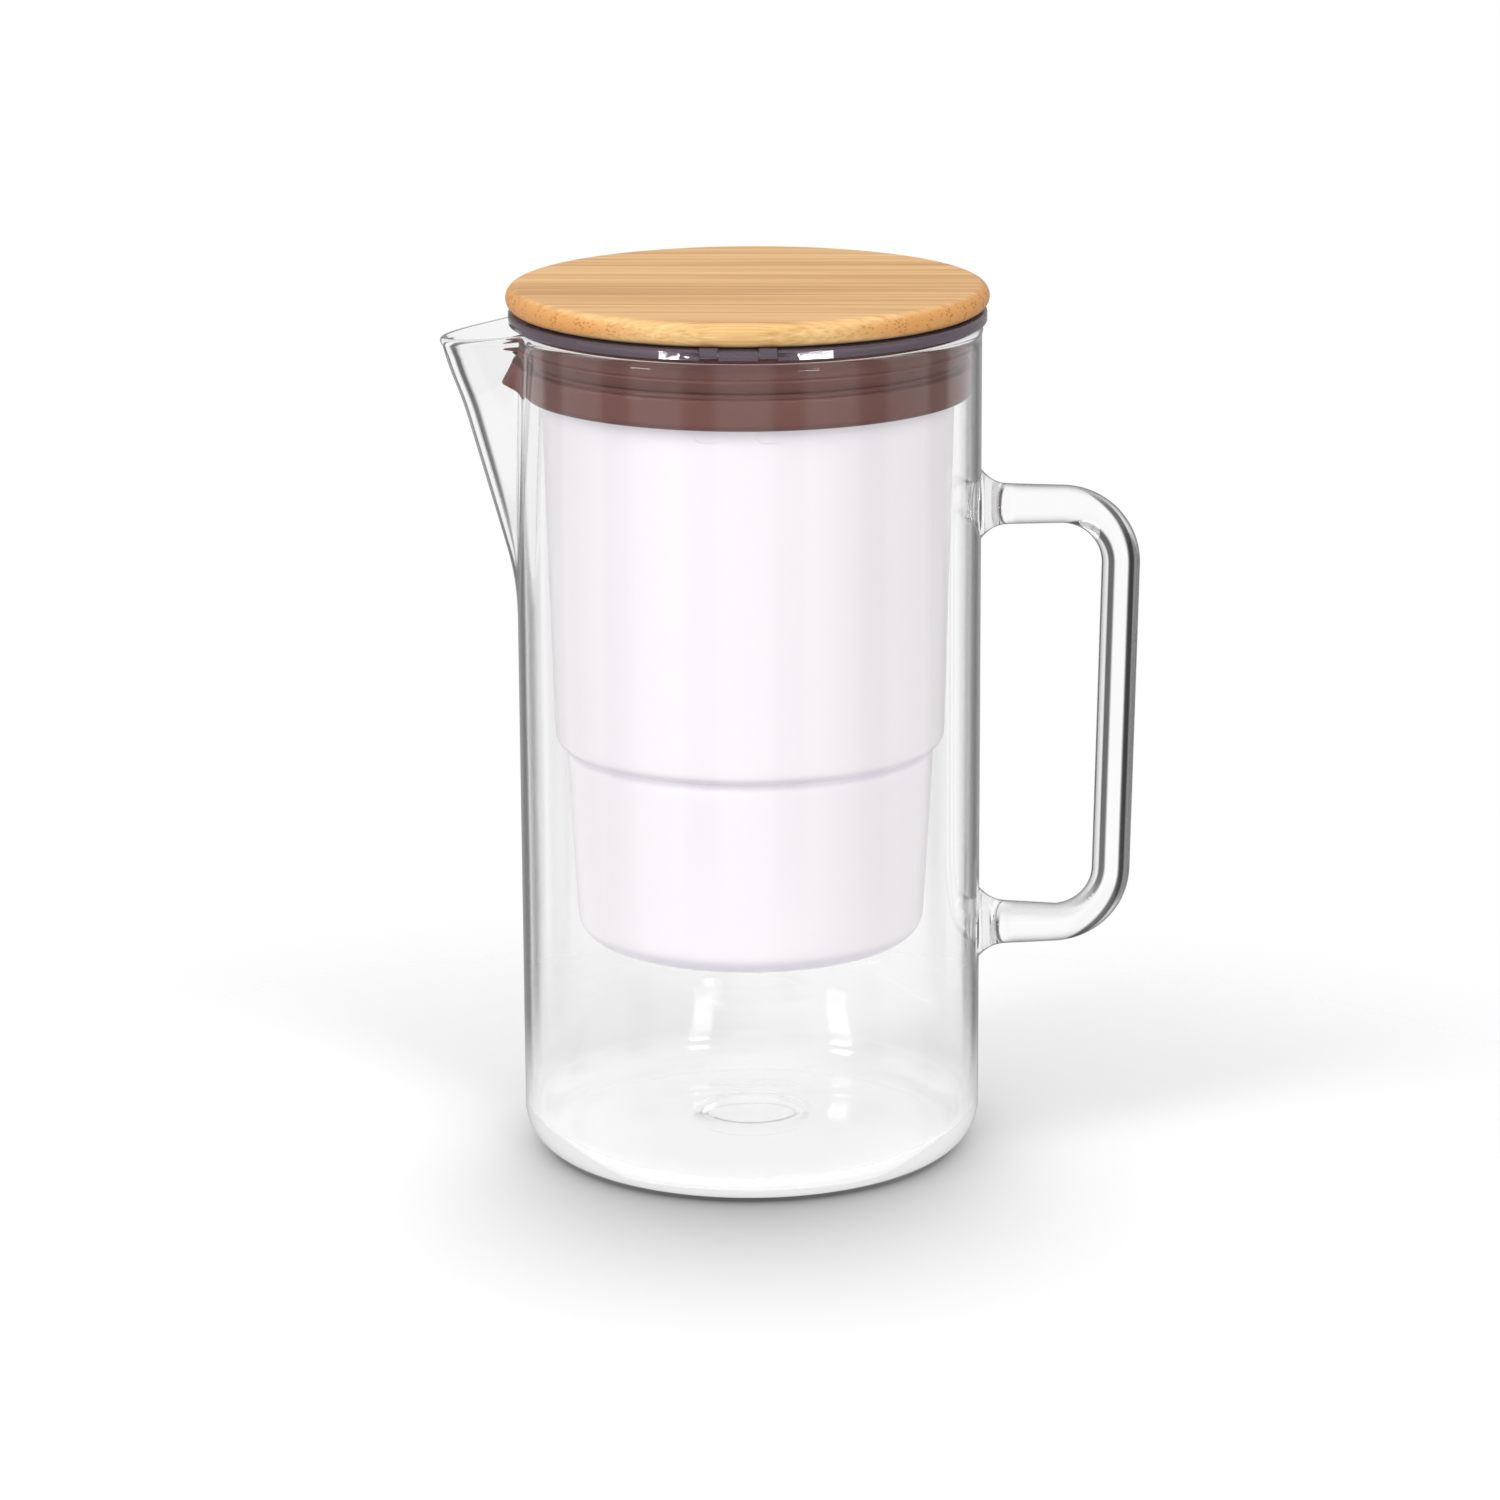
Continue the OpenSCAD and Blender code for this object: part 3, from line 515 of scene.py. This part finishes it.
def new_group(name, inputs, outputs):
    """An empty node group with named sockets, the outputs of its start node, and its end node."""
    group = bpy.data.node_groups.new(name, "ShaderNodeTree")
    for title, kind, value in inputs:
        socket = group.interface.new_socket(name=title, in_out="INPUT", socket_type=kind)
        if value is not None:
            socket.default_value = value
    for title, kind in outputs:
        group.interface.new_socket(name=title, in_out="OUTPUT", socket_type=kind)
    return group, group.nodes.new("NodeGroupInput").outputs, group.nodes.new("NodeGroupOutput")


def make_tone_drift():
    """Mixes two colours by a soft noise, the way a moulding or a glaze drifts in tone over its surface."""
    group, given, end = new_group("tone_drift", [
        ("Vector", VEC, None), ("Light", COL, (1, 1, 1, 1)), ("Dark", COL, (0.8, 0.8, 0.8, 1)),
        ("Scale", NUM, 20.0)], [("Color", COL)])
    noise = place(group, "ShaderNodeTexNoise", {"Vector": given["Vector"], "Scale": given["Scale"],
                                                "Detail": 3.0, "Roughness": 0.55})
    share = ranged(group, noise.outputs["Fac"], 0.3, 0.7)
    feed(group, end, {"Color": blend(group, share, given["Dark"], given["Light"])})
    return group


def make_fine_grain():
    """A coarse and a fine noise, mixed by the fine one's share; drives bump and gloss."""
    group, given, end = new_group("fine_grain", [
        ("Vector", VEC, None), ("Coarse", NUM, 60.0), ("Fine", NUM, 900.0), ("Share", NUM, 0.5)],
        [("Height", NUM)])
    coarse, fine = (place(group, "ShaderNodeTexNoise", {"Vector": given["Vector"], "Scale": given[size],
                                                        "Detail": 2.0}).outputs["Fac"]
                    for size in ("Coarse", "Fine"))
    mix = place(group, "ShaderNodeMix", {"Factor": given["Share"], "A": coarse, "B": fine}, data_type="FLOAT")
    feed(group, end, {"Height": mix.outputs["Result"]})
    return group


TONE_DRIFT, FINE_GRAIN = make_tone_drift(), make_fine_grain()


def drift(tree, where, light, dark, scale):
    """Colour that drifts between two tones."""
    return place(tree, "ShaderNodeGroup", {"Vector": where, "Light": (*light, 1), "Dark": (*dark, 1),
                                           "Scale": scale}, node_tree=TONE_DRIFT).outputs["Color"]


def grain(tree, where, coarse, fine, share=0.5):
    """Height pattern from the shared grain."""
    return place(tree, "ShaderNodeGroup", {"Vector": where, "Coarse": coarse, "Fine": fine, "Share": share},
                 node_tree=FINE_GRAIN).outputs["Height"]


def dressed(name, light, dark, drift_scale, coarse, fine, bump, rough, values):
    """A finish of the common kind: drifting base colour, fine bump and a roughness that follows the grain.
    rough is the lowest and highest roughness."""
    material, tree, shader = finish_of(name, values)
    where = coordinates(tree)
    height = grain(tree, where, coarse, fine)
    feed(tree, shader, {"Base Color": drift(tree, where, light, dark, drift_scale),
                        "Roughness": ranged(tree, height, 0.3, 0.7, *rough),
                        "Normal": bump_of(tree, height, bump, 0.0002)})
    return material


print("shared effects:", [group.name for group in bpy.data.node_groups])

# %% [markdown]
# ## Clear glass
# Borosilicate glass has no colour of its own at this thickness. Blown walls are never quite even, so a weak,
# slow bump bends the light by a hair. Three stand-ins help it:
#
# - Lamps shine through a clear jug almost unweakened, but a path tracer finds such light only by chance. So
#   for shadow and diffuse rays the glass is plainly transparent.
# - Light that keeps bouncing inside a thick corner would end as black, so after its second bounce it meets a
#   pale glow instead.
# - A photo studio puts dark cards beside glass to draw its outline. Here a painted grey reflection of such
#   cards does that where the wall turns away from the eye, and in a stripe along the front of the grip.

# %% Glass
# painted reflection: DARK_EDGE and DARK_STRIPE are the grey of studio cards mirrored in the glass, put into its
# colour
DARK_EDGE, DARK_STRIPE = (0.07, 0.07, 0.075, 1), (0.02, 0.02, 0.021, 1)
STRIPE_SIDE = (0.70, -0.71, 0.0)
LEFT_OF_LIGHT, TRAPPED_GLOW = (0.96, 0.96, 0.96, 1), (0.88, 0.88, 0.88, 1)


def make_glass():
    """Principled glass with a slow ripple in its normal and a painted dark reflection at its edges and down the
    grip, swapped for plain transparency on lamp rays and for a pale glow on trapped ones."""
    material, tree, shader = finish_of("clear_borosilicate", {
        "Base Color": (1, 1, 1, 1), "Transmission Weight": 1.0, "IOR": 1.47, "Roughness": 0.0})
    number = sums(tree)
    where = coordinates(tree, scale=(1, 1, 0.35))
    here = place(tree, "ShaderNodeTexCoord").outputs
    apart = split_xyz(tree, here["Object"])
    on_rod = ranged(tree, apart["X"], 0.066, 0.072)
    # painted dark reflection where the wall turns away from the eye, kept off the foot of the jug
    turned_away = place(tree, "ShaderNodeLayerWeight", {"Blend": 0.5}).outputs["Facing"]
    starts = ranged(tree, on_rod, 0.0, 1.0, 0.70, 0.10)
    painted_edge_share = ranged(tree, turned_away, starts, 0.80, soft=True)
    above_base = ranged(tree, apart["Z"], 0.010, 0.040, soft=True)
    plain = drift(tree, where, (0.99, 0.99, 0.99), (0.975, 0.975, 0.978), 14.0)
    edged = blend(tree, number("MULTIPLY", painted_edge_share, above_base), plain, DARK_EDGE)
    # painted dark reflection in a stripe down the front of the grip, where the normal faces STRIPE_SIDE
    towards = place(tree, "ShaderNodeVectorMath", {0: here["Normal"], 1: STRIPE_SIDE},
                    operation="DOT_PRODUCT")
    stripe = ranged(tree, towards.outputs["Value"], 0.88, 0.97, 0.0, 0.93, soft=True)
    feed(tree, shader, {"Base Color": blend(tree, number("MULTIPLY", stripe, on_rod), edged, DARK_STRIPE),
                        "Normal": bump_of(tree, grain(tree, where, 22.0, 70.0, 0.2), 0.05, 0.002)})
    path = place(tree, "ShaderNodeLightPath").outputs
    clear = place(tree, "ShaderNodeBsdfTransparent", {"Color": LEFT_OF_LIGHT})
    glow = place(tree, "ShaderNodeEmission", {"Color": TRAPPED_GLOW})
    lit = place(tree, "ShaderNodeMixShader", {
        "Fac": number("MAXIMUM", path["Is Shadow Ray"], path["Is Diffuse Ray"]),
        1: shader.outputs["BSDF"], 2: clear.outputs["BSDF"]})
    last = place(tree, "ShaderNodeMixShader", {
        "Fac": number("GREATER_THAN", path["Glossy Depth"], 2.5), 1: lit.outputs["Shader"],
        2: glow.outputs["Emission"]})
    out = next(n for n in tree.nodes if n.type == "OUTPUT_MATERIAL")
    feed(tree, out, {"Surface": last.outputs["Shader"]})
    return material


jug_glass.data.materials.append(make_glass())
print("glass nodes:", len(jug_glass.data.materials[0].node_tree.nodes))

# %% [markdown]
# ## Plastics and silicone
# The reservoir is frosted, milky plastic with a soft sheen. A weak emission stands in for the light that
# passes through its wall, and painted shade darkens it in bands at its step, its foot and the gasket's lower
# edge. The silicone is a muted cocoa brown with a satin, slightly dusty face. The lid's ring and plate are
# smoke-tinted clear plastic, which looks dark because light crosses it several times.

# %% Plastic, silicone and tinted finishes


def paint_shade_bands(material, colour, everywhere, bands):
    """Mixes a deeper tone into the base colour: a share of it everywhere, and more as painted shade in soft
    bands of height, each given as its middle and half width in mm and its share."""
    tree = material.node_tree
    number = sums(tree)
    shader = next(n for n in tree.nodes if n.type == "BSDF_PRINCIPLED")
    plain = shader.inputs["Base Color"].links[0].from_socket
    height = split_xyz(tree, place(tree, "ShaderNodeTexCoord").outputs["Object"])["Z"]
    total = everywhere
    for middle, half, share in bands:
        away = number("ABSOLUTE", number("ADD", height, -middle * MM))
        total = number("ADD", ranged(tree, away, 0.0, half * MM, share, 0.0, soft=True), total)
    feed(tree, shader, {"Base Color": blend(tree, total, plain, (*colour, 1))})


FROSTED = dressed("frosted_plastic", (0.975, 0.945, 0.95), (0.96, 0.93, 0.94), 18, 40, 1400, 0.06,
                  (0.30, 0.38), {"Specular IOR Level": 0.45, "Emission Color": (1.0, 0.965, 0.92, 1),
                                 "Emission Strength": 0.25})
# painted shade: a violet grey in bands at the step (113.6 mm), round the foot (61.6 mm) and at the gasket's
# lower edge (208.5 mm)
paint_shade_bands(FROSTED, (0.60, 0.56, 0.66), 0.5, [(113.6, 2.6, 0.75), (61.6, 3.6, 0.6), (208.5, 5.0, 0.25)])
SILICONE = dressed("cocoa_silicone", (0.172, 0.066, 0.053), (0.148, 0.055, 0.044), 30, 90, 2200, 0.15,
                   (0.42, 0.55), {"Specular IOR Level": 0.3})
SMOKE = dressed("smoke_plastic", (0.25, 0.19, 0.24), (0.21, 0.16, 0.20), 25, 60, 1500, 0.01,
                (0.02, 0.04), {"Transmission Weight": 0.55, "IOR": 1.5})
CASE = dressed("cartridge_plastic", (0.86, 0.86, 0.85), (0.82, 0.82, 0.81), 30, 80, 1800, 0.1,
               (0.32, 0.45), {})
STEEL = dressed("steel", (0.62, 0.61, 0.60), (0.52, 0.51, 0.50), 200, 500, 4000, 0.1,
                (0.22, 0.36), {"Metallic": 1.0})
FELT = dressed("felt", (0.86, 0.85, 0.81), (0.72, 0.71, 0.67), 300, 700, 5000, 0.8, (0.85, 0.98), {})


def make_grains(name, light, dark, scale, rough):
    """Loose grains: each cell of a Voronoi pattern has its own tone, and its distance makes a round bump."""
    material, tree, shader = finish_of(name, {})
    cells = place(tree, "ShaderNodeTexVoronoi", {"Vector": coordinates(tree), "Scale": scale}).outputs
    random = place(tree, "ShaderNodeSeparateColor", {"Color": cells["Color"]}).outputs
    feed(tree, shader, {"Base Color": blend(tree, random["Red"], (*dark, 1), (*light, 1)),
                        "Roughness": ranged(tree, random["Green"], 0.0, 1.0, *rough),
                        "Normal": bump_of(tree, cells["Distance"], 0.9, 0.0004, invert=True)})
    return material


CARBON = make_grains("carbon_grains", (0.045, 0.045, 0.048), (0.012, 0.012, 0.013), 1100, (0.35, 0.7))
RESIN = make_grains("resin_beads", (0.72, 0.52, 0.24), (0.50, 0.33, 0.13), 1500, (0.25, 0.45))


def make_mesh_cloth():
    """Square woven mesh: two crossed waves, the larger of which is the thread on top."""
    material, tree, shader = finish_of("inlet_weave", {})
    where = coordinates(tree)
    waves = [place(tree, "ShaderNodeTexWave", {"Vector": where, "Scale": 320.0, "Distortion": 0.0},
                   bands_direction=direction).outputs["Fac"] for direction in ("X", "Y")]
    top = sums(tree)("MAXIMUM", *waves)
    feed(tree, shader, {"Base Color": blend(tree, top, (0.35, 0.35, 0.34, 1), (0.86, 0.86, 0.84, 1)),
                        "Roughness": ranged(tree, top, 0.0, 1.0, 0.8, 0.5),
                        "Normal": bump_of(tree, top, 0.8, 0.0002)})
    return material


WEAVE = make_mesh_cloth()
print("materials:", len(bpy.data.materials))

# %% [markdown]
# ## Bamboo
# Laminated bamboo is glued from strips a few millimetres wide, all running one way. Each strip has its own
# tone, and inside it long fibres draw thin darker lines. Where the round edge turns across the strips, the
# cut ends of the fibres show as small dark dots. The graph makes both patterns and mixes them by how far the
# surface faces along the grain, taken from the piece's own normal.

# %% Bamboo finish
STRIP_W = 0.0068


def make_bamboo():
    """Strip tone, fibre lines and end-grain dots, mixed by the normal's part along the grain."""
    material, tree, shader = finish_of("laminated_bamboo", {"Specular IOR Level": 0.2})
    number = sums(tree)
    here = place(tree, "ShaderNodeTexCoord").outputs
    facing = split_xyz(tree, here["Normal"])

    def stretched(scale):
        return place(tree, "ShaderNodeMapping", {"Vector": here["Object"], "Scale": scale}).outputs["Vector"]

    def noise(scale, stretch, detail=2.0):
        return place(tree, "ShaderNodeTexNoise", {"Vector": stretched(stretch), "Scale": scale,
                                                  "Detail": detail, "Roughness": 0.6}).outputs["Fac"]

    # the flat face: strips, each with its tone, fibres and faint seams
    wobble = number("MULTIPLY_ADD", noise(9.0, (1, 1, 1)), 0.0016, -0.0008)
    in_strips = number("DIVIDE", number("ADD", split_xyz(tree, here["Object"])["Y"], wobble), STRIP_W)
    within = number("FRACT", in_strips)
    strip_tone = place(tree, "ShaderNodeTexWhiteNoise", {"W": number("FLOOR", in_strips)},
                       noise_dimensions="1D").outputs["Value"]
    seam = number("LESS_THAN", number("MINIMUM", within, number("SUBTRACT", 1.0, within)), 0.022)
    fibre = noise(60.0, (0.25, 22.0, 22.0), 5.0)
    streak = noise(6.0, (1.0, 70.0, 70.0), 4.0)
    mixed = number("MULTIPLY_ADD", strip_tone, 0.34,
                   number("MULTIPLY_ADD", fibre, 0.55, number("MULTIPLY_ADD", streak, 1.5, -0.72)))
    face = place(tree, "ShaderNodeValToRGB", {"Fac": mixed})
    stops = face.color_ramp.elements
    stops[0].position, stops[0].color = 0.15, (0.58, 0.310, 0.118, 1)
    stops[1].position, stops[1].color = 0.85, (0.93, 0.600, 0.300, 1)
    stops.new(0.5).color = (0.80, 0.475, 0.207, 1)
    seamed = blend(tree, number("MULTIPLY", seam, 0.12), face.outputs["Color"], (0.56, 0.31, 0.13, 1))

    # the long sides, where the fibres run along the edge in blotches
    blotch = noise(55.0, (0.5, 1.0, 2.5), 3.0)
    blotched = ranged(tree, number("MULTIPLY_ADD", fibre, 0.6, number("MULTIPLY", blotch, 0.45)), 0.36, 0.60)
    side_tone = blend(tree, blotched, (0.64, 0.35, 0.12, 1), (0.97, 0.68, 0.31, 1))
    on_side = ranged(tree, number("ABSOLUTE", facing["Y"]), 0.25, 0.75, 0.0, 0.75, soft=True)
    along = blend(tree, on_side, seamed, side_tone)

    # the cut ends, with dots that are larger towards one side of each strip
    dots = place(tree, "ShaderNodeTexVoronoi", {"Vector": stretched((60, 1150, 1150)), "Scale": 1.0,
                                                "Randomness": 0.9})
    spot = number("LESS_THAN", dots.outputs["Distance"], number("MULTIPLY_ADD", within, 0.34, 0.10))
    cut_end = blend(tree, number("MULTIPLY", spot, noise(45.0, (1, 1, 1))), (0.78, 0.385, 0.130, 1),
                    (0.27, 0.095, 0.028, 1))
    on_end = ranged(tree, number("ABSOLUTE", facing["X"]), 0.30, 0.62, soft=True)

    feed(tree, shader, {"Base Color": blend(tree, on_end, along, cut_end),
                        "Roughness": ranged(tree, fibre, 0.3, 0.7, 0.36, 0.50),
                        "Normal": bump_of(tree, fibre, 0.25, 0.0002)})
    return material


# %% [markdown]
# ## Finishes on the pieces
# The new skins take the finish made for them. Every other piece keeps its CAD shape and is given its finish
# by the name of its node.

# %% Put the finishes on
reservoir.data.materials.append(FROSTED)
gasket.data.materials.append(SILICONE)
bamboo.data.materials.append(make_bamboo())
WORN_BY = {"lid_ring": SMOKE, "lid_plate": SMOKE, "lid_seal": SILICONE, "hinge_pin": STEEL,
           "lid_screws": STEEL, "cartridge_body": CASE, "cartridge_cap": CASE, "cartridge_loop": CASE,
           "cartridge_seal": SILICONE, "inlet_mesh": WEAVE, "carbon_bed": CARBON, "felt_divider": FELT,
           "resin_bed": RESIN, "outlet_felt": FELT, "outlet_grille": CASE}
for name, material in WORN_BY.items():
    nodes[name].data.materials.clear()
    nodes[name].data.materials.append(material)
print("CAD nodes that keep their shape:", len(WORN_BY))

# %% [markdown]
# ## Floor and background
# The photograph is a packshot: white all round, a black line where the glass meets the floor and a soft grey
# shadow. The floor is a disc that fades into a white world. The camera sees it as paper with the contact
# shadow drawn in. Through the glass it is a little brighter under the jug, where the lid and the reservoir
# keep the lamps off. Reflections see a dim room, so that they don't veil what is behind the glass, and the
# light that bounces off the floor onto the object stays plain.

# %% Floor and world
FLOOR_R, FLOOR_DROP = 0.62, 0.05
PAPER_SEEN, PAPER_LIT, MIRRORED, AMBIENT = 1.05, 0.80, 0.42, 0.38
STANDING_R = 0.056
BROAD, BROAD_SIDE, BROAD_FRONT = 0.40, 0.014, 0.036
WIDE, WIDE_L, NARROW, NARROW_L = 0.12, 0.20, 0.36, 0.003


def make_floor():
    """Flat disc of rings and spokes just under the standing plane."""
    rings = np.linspace(0.0, 1.0, 24)[1:] * FLOOR_R / MM
    a = np.linspace(-math.pi, math.pi, 96, endpoint=False)
    A, R = np.meshgrid(a, rings)
    grid = np.stack([R * np.cos(A), R * np.sin(A), np.full_like(R, -FLOOR_DROP)], axis=-1)
    mesh = bpy.data.meshes.new("floor")
    faces = quad_faces(len(rings), len(a), False, True)
    tip = len(rings) * len(a)
    fan = np.stack([np.full(len(a), tip), np.arange(len(a)), np.roll(np.arange(len(a)), -1)], -1)
    points = np.vstack([grid.reshape(-1, 3), [[0, 0, -FLOOR_DROP]]]) * MM
    mesh.from_pydata(points.tolist(), [], faces[:, ::-1].tolist() + fan.tolist())
    floor = bpy.data.objects.new("floor", mesh)
    bpy.context.scene.collection.objects.link(floor)
    return floor


def by_ray(tree, plain, camera, glossy, through):
    """A level for each kind of ray. A ray that was bent through glass counts as glossy too, so the choice for
    transmission comes last. Each level is a number or another node's output."""
    path = place(tree, "ShaderNodeLightPath").outputs
    last = plain
    for kind, level in (("Is Camera Ray", camera), ("Is Glossy Ray", glossy),
                        ("Is Transmission Ray", through)):
        last = place(tree, "ShaderNodeMix", {"Factor": path[kind], "A": last, "B": level},
                     data_type="FLOAT").outputs["Result"]
    return last


def polar(tree, shift=(0, 0, 0)):
    """Distance of a floor point from the axis, and how far to the back it lies, from minus one to one."""
    number = sums(tree)
    apart = split_xyz(tree, coordinates(tree, shift=shift))
    x, y = apart["X"], apart["Y"]
    r = number("SQRT", number("ADD", number("MULTIPLY", x, x), number("MULTIPLY", y, y)))
    return r, number("DIVIDE", y, number("MAXIMUM", r, 0.001))


def contact_shadow(tree):
    """Light left on the paper round the jug: one, less a wide, a broad and a narrow part that all fall off
    exponentially with the distance from the standing ring. The broad part reaches furthest to the front."""
    number = sums(tree)
    r, back = polar(tree)
    beyond = number("MAXIMUM", number("SUBTRACT", r, STANDING_R), 0.0)
    front = number("MAXIMUM", number("MULTIPLY", back, -1.0), 0.0)
    square = number("MULTIPLY", front, front)
    broad = number("EXPONENT", number("DIVIDE", number("MULTIPLY", beyond, -1.0),
                                      number("MULTIPLY_ADD", square, BROAD_FRONT, BROAD_SIDE)))
    wide = number("MULTIPLY", square, number("EXPONENT", number("DIVIDE", beyond, -WIDE_L)))
    narrow = number("EXPONENT", number("DIVIDE", beyond, -NARROW_L))
    left = number("MULTIPLY_ADD", wide, -WIDE, number("MULTIPLY_ADD", broad, -BROAD, 1.0))
    return number("SUBTRACT", left, number("MULTIPLY", narrow, NARROW))


def make_paper():
    """Diffuse paper whose level depends on the ray, fading to nothing round a point in front of the jug."""
    paper = bpy.data.materials.new("paper")
    paper.use_nodes = True
    tree = paper.node_tree
    tree.nodes.clear()
    seen = sums(tree)("MULTIPLY", contact_shadow(tree), PAPER_SEEN)
    under_jug = ranged(tree, polar(tree)[0], 0.05, 0.10, 1.25, 1.0, soft=True)
    shade = by_ray(tree, PAPER_LIT, seen, MIRRORED, under_jug)
    grey = place(tree, "ShaderNodeCombineColor", {"Red": shade, "Green": shade, "Blue": shade})
    diffuse = place(tree, "ShaderNodeBsdfDiffuse", {"Color": grey.outputs["Color"]})
    clear = place(tree, "ShaderNodeBsdfTransparent")
    fade = ranged(tree, polar(tree, shift=(0, 0.10, 0))[0], 0.16, 0.34, soft=True)
    mix = place(tree, "ShaderNodeMixShader", {"Fac": fade, 1: diffuse.outputs["BSDF"],
                                              2: clear.outputs["BSDF"]})
    place(tree, "ShaderNodeOutputMaterial", {"Surface": mix.outputs["Shader"]})
    return paper


def dark_bands(tree):
    """Light by direction: 1 behind the jug in each of eight views, less in soft bands between them."""
    number = sums(tree)
    apart = split_xyz(tree, place(tree, "ShaderNodeTexCoord").outputs["Generated"])
    turn = number("ARCTAN2", apart["Y"], apart["X"])
    wave = number("COSINE", number("MULTIPLY", turn, 8.0))
    return ranged(tree, wave, -0.8, 0.0, 0.12, 1.0, soft=True)


make_floor().data.materials.append(make_paper())
world = bpy.data.worlds.new("studio")
bpy.context.scene.world = world
world.use_nodes = True
tree = world.node_tree
tree.nodes.clear()
level = by_ray(tree, AMBIENT, 1.0, MIRRORED, dark_bands(tree))
background = place(tree, "ShaderNodeBackground", {"Color": (1, 1, 1, 1), "Strength": level})
place(tree, "ShaderNodeOutputWorld", {"Surface": background.outputs["Background"]})
print("floor radius, m:", FLOOR_R, "world nodes:", len(tree.nodes))

# %% [markdown]
# ## Lamps and highlight cards
# Three soft boxes light the object: one from each side of the camera and one overhead. Reflections don't see
# them. The window-shaped highlights on the glass and the ring come from small bright cards low in front.
# Their heights follow from the mirror rule on an upright wall.

# %% Lamps


def softbox(name, place_at, aim, width, height, watts):
    """Rectangular lamp that looks from its place towards its aim."""
    light = bpy.data.lights.new(name, "AREA")
    light.shape, light.size, light.size_y, light.energy = "RECTANGLE", width, height, watts
    lamp = bpy.data.objects.new(name, light)
    lamp.location = place_at
    lamp.visible_glossy = False
    lamp.rotation_mode = "QUATERNION"
    lamp.rotation_quaternion = (Vector(aim) - Vector(place_at)).to_track_quat("-Z", "Y")
    bpy.context.scene.collection.objects.link(lamp)


def highlight_card(name, place_at, aim, width, height, strength):
    """Bright upright card that only reflections see."""
    back = (Vector(place_at) - Vector(aim)).normalized()
    side = Vector((0, 0, 1)).cross(back).normalized()
    up = back.cross(side)
    corners = [Vector(place_at) + side * width * a / 2 + up * height * b / 2
               for a, b in ((-1, -1), (1, -1), (1, 1), (-1, 1))]
    mesh = bpy.data.meshes.new(name)
    mesh.from_pydata([tuple(c) for c in corners], [], [(0, 1, 2, 3)])
    card = bpy.data.objects.new(name, mesh)
    bpy.context.scene.collection.objects.link(card)
    mesh.materials.append(finish_of(name, {"Base Color": (0, 0, 0, 1), "Emission Color": (1, 1, 1, 1),
                                           "Emission Strength": strength})[0])
    card.visible_camera = card.visible_diffuse = card.visible_shadow = card.visible_transmission = False


MIDDLE = (0, 0, 0.13)
CARD_Y, THIN_CARD_Z = -0.80, 0.0730
softbox("front_left", (-0.74, -0.60, 0.62), MIDDLE, 0.21, 0.62, 5.6)
softbox("front_right", (0.51, -0.80, 0.62), MIDDLE, 0.21, 0.62, 4.8)
softbox("overhead", (0.0, 0.15, 1.05), MIDDLE, 0.8, 0.6, 2.7)
for side, x, z in (("left", -0.47, 0.0680), ("right", 0.53, 0.0623)):
    highlight_card(f"card_{side}", (x, CARD_Y, z), MIDDLE, 0.28, 0.0120, 34.0)
    highlight_card(f"thin_card_{side}", (x, CARD_Y, THIN_CARD_Z), MIDDLE, 0.30, 0.0016, 14.0)
print("lamps:", len(bpy.data.lights))

# %% [markdown]
# ## Camera
# A long lens from slightly above. Its distance, height and focal length were worked out from the ellipses of
# the lid, the rim and the base in the photograph, and a third of a degree of roll from the leaning axis.

# %% Camera
AZIMUTH, PITCH, ROLL = math.radians(2.2), math.radians(14.5), math.radians(-0.32)
DISTANCE, AIM_Z = 1.440, 0.110
data = bpy.data.cameras.new("camera")
data.lens, data.sensor_width = 127.0, 36.0
camera = bpy.data.objects.new("camera", data)
bpy.context.scene.collection.objects.link(camera)
back = Vector((math.sin(AZIMUTH) * math.cos(PITCH), -math.cos(AZIMUTH) * math.cos(PITCH), math.sin(PITCH)))
camera.rotation_mode = "QUATERNION"
camera.location = Vector((0, 0, AIM_Z)) + back * DISTANCE
camera.rotation_quaternion = (-back).to_track_quat("-Z", "Y") @ Quaternion((0, 0, 1), ROLL)
bpy.context.scene.camera = camera
bpy.context.scene.view_settings.view_transform = "Standard"
print("camera at, m:", [round(v, 3) for v in camera.location])
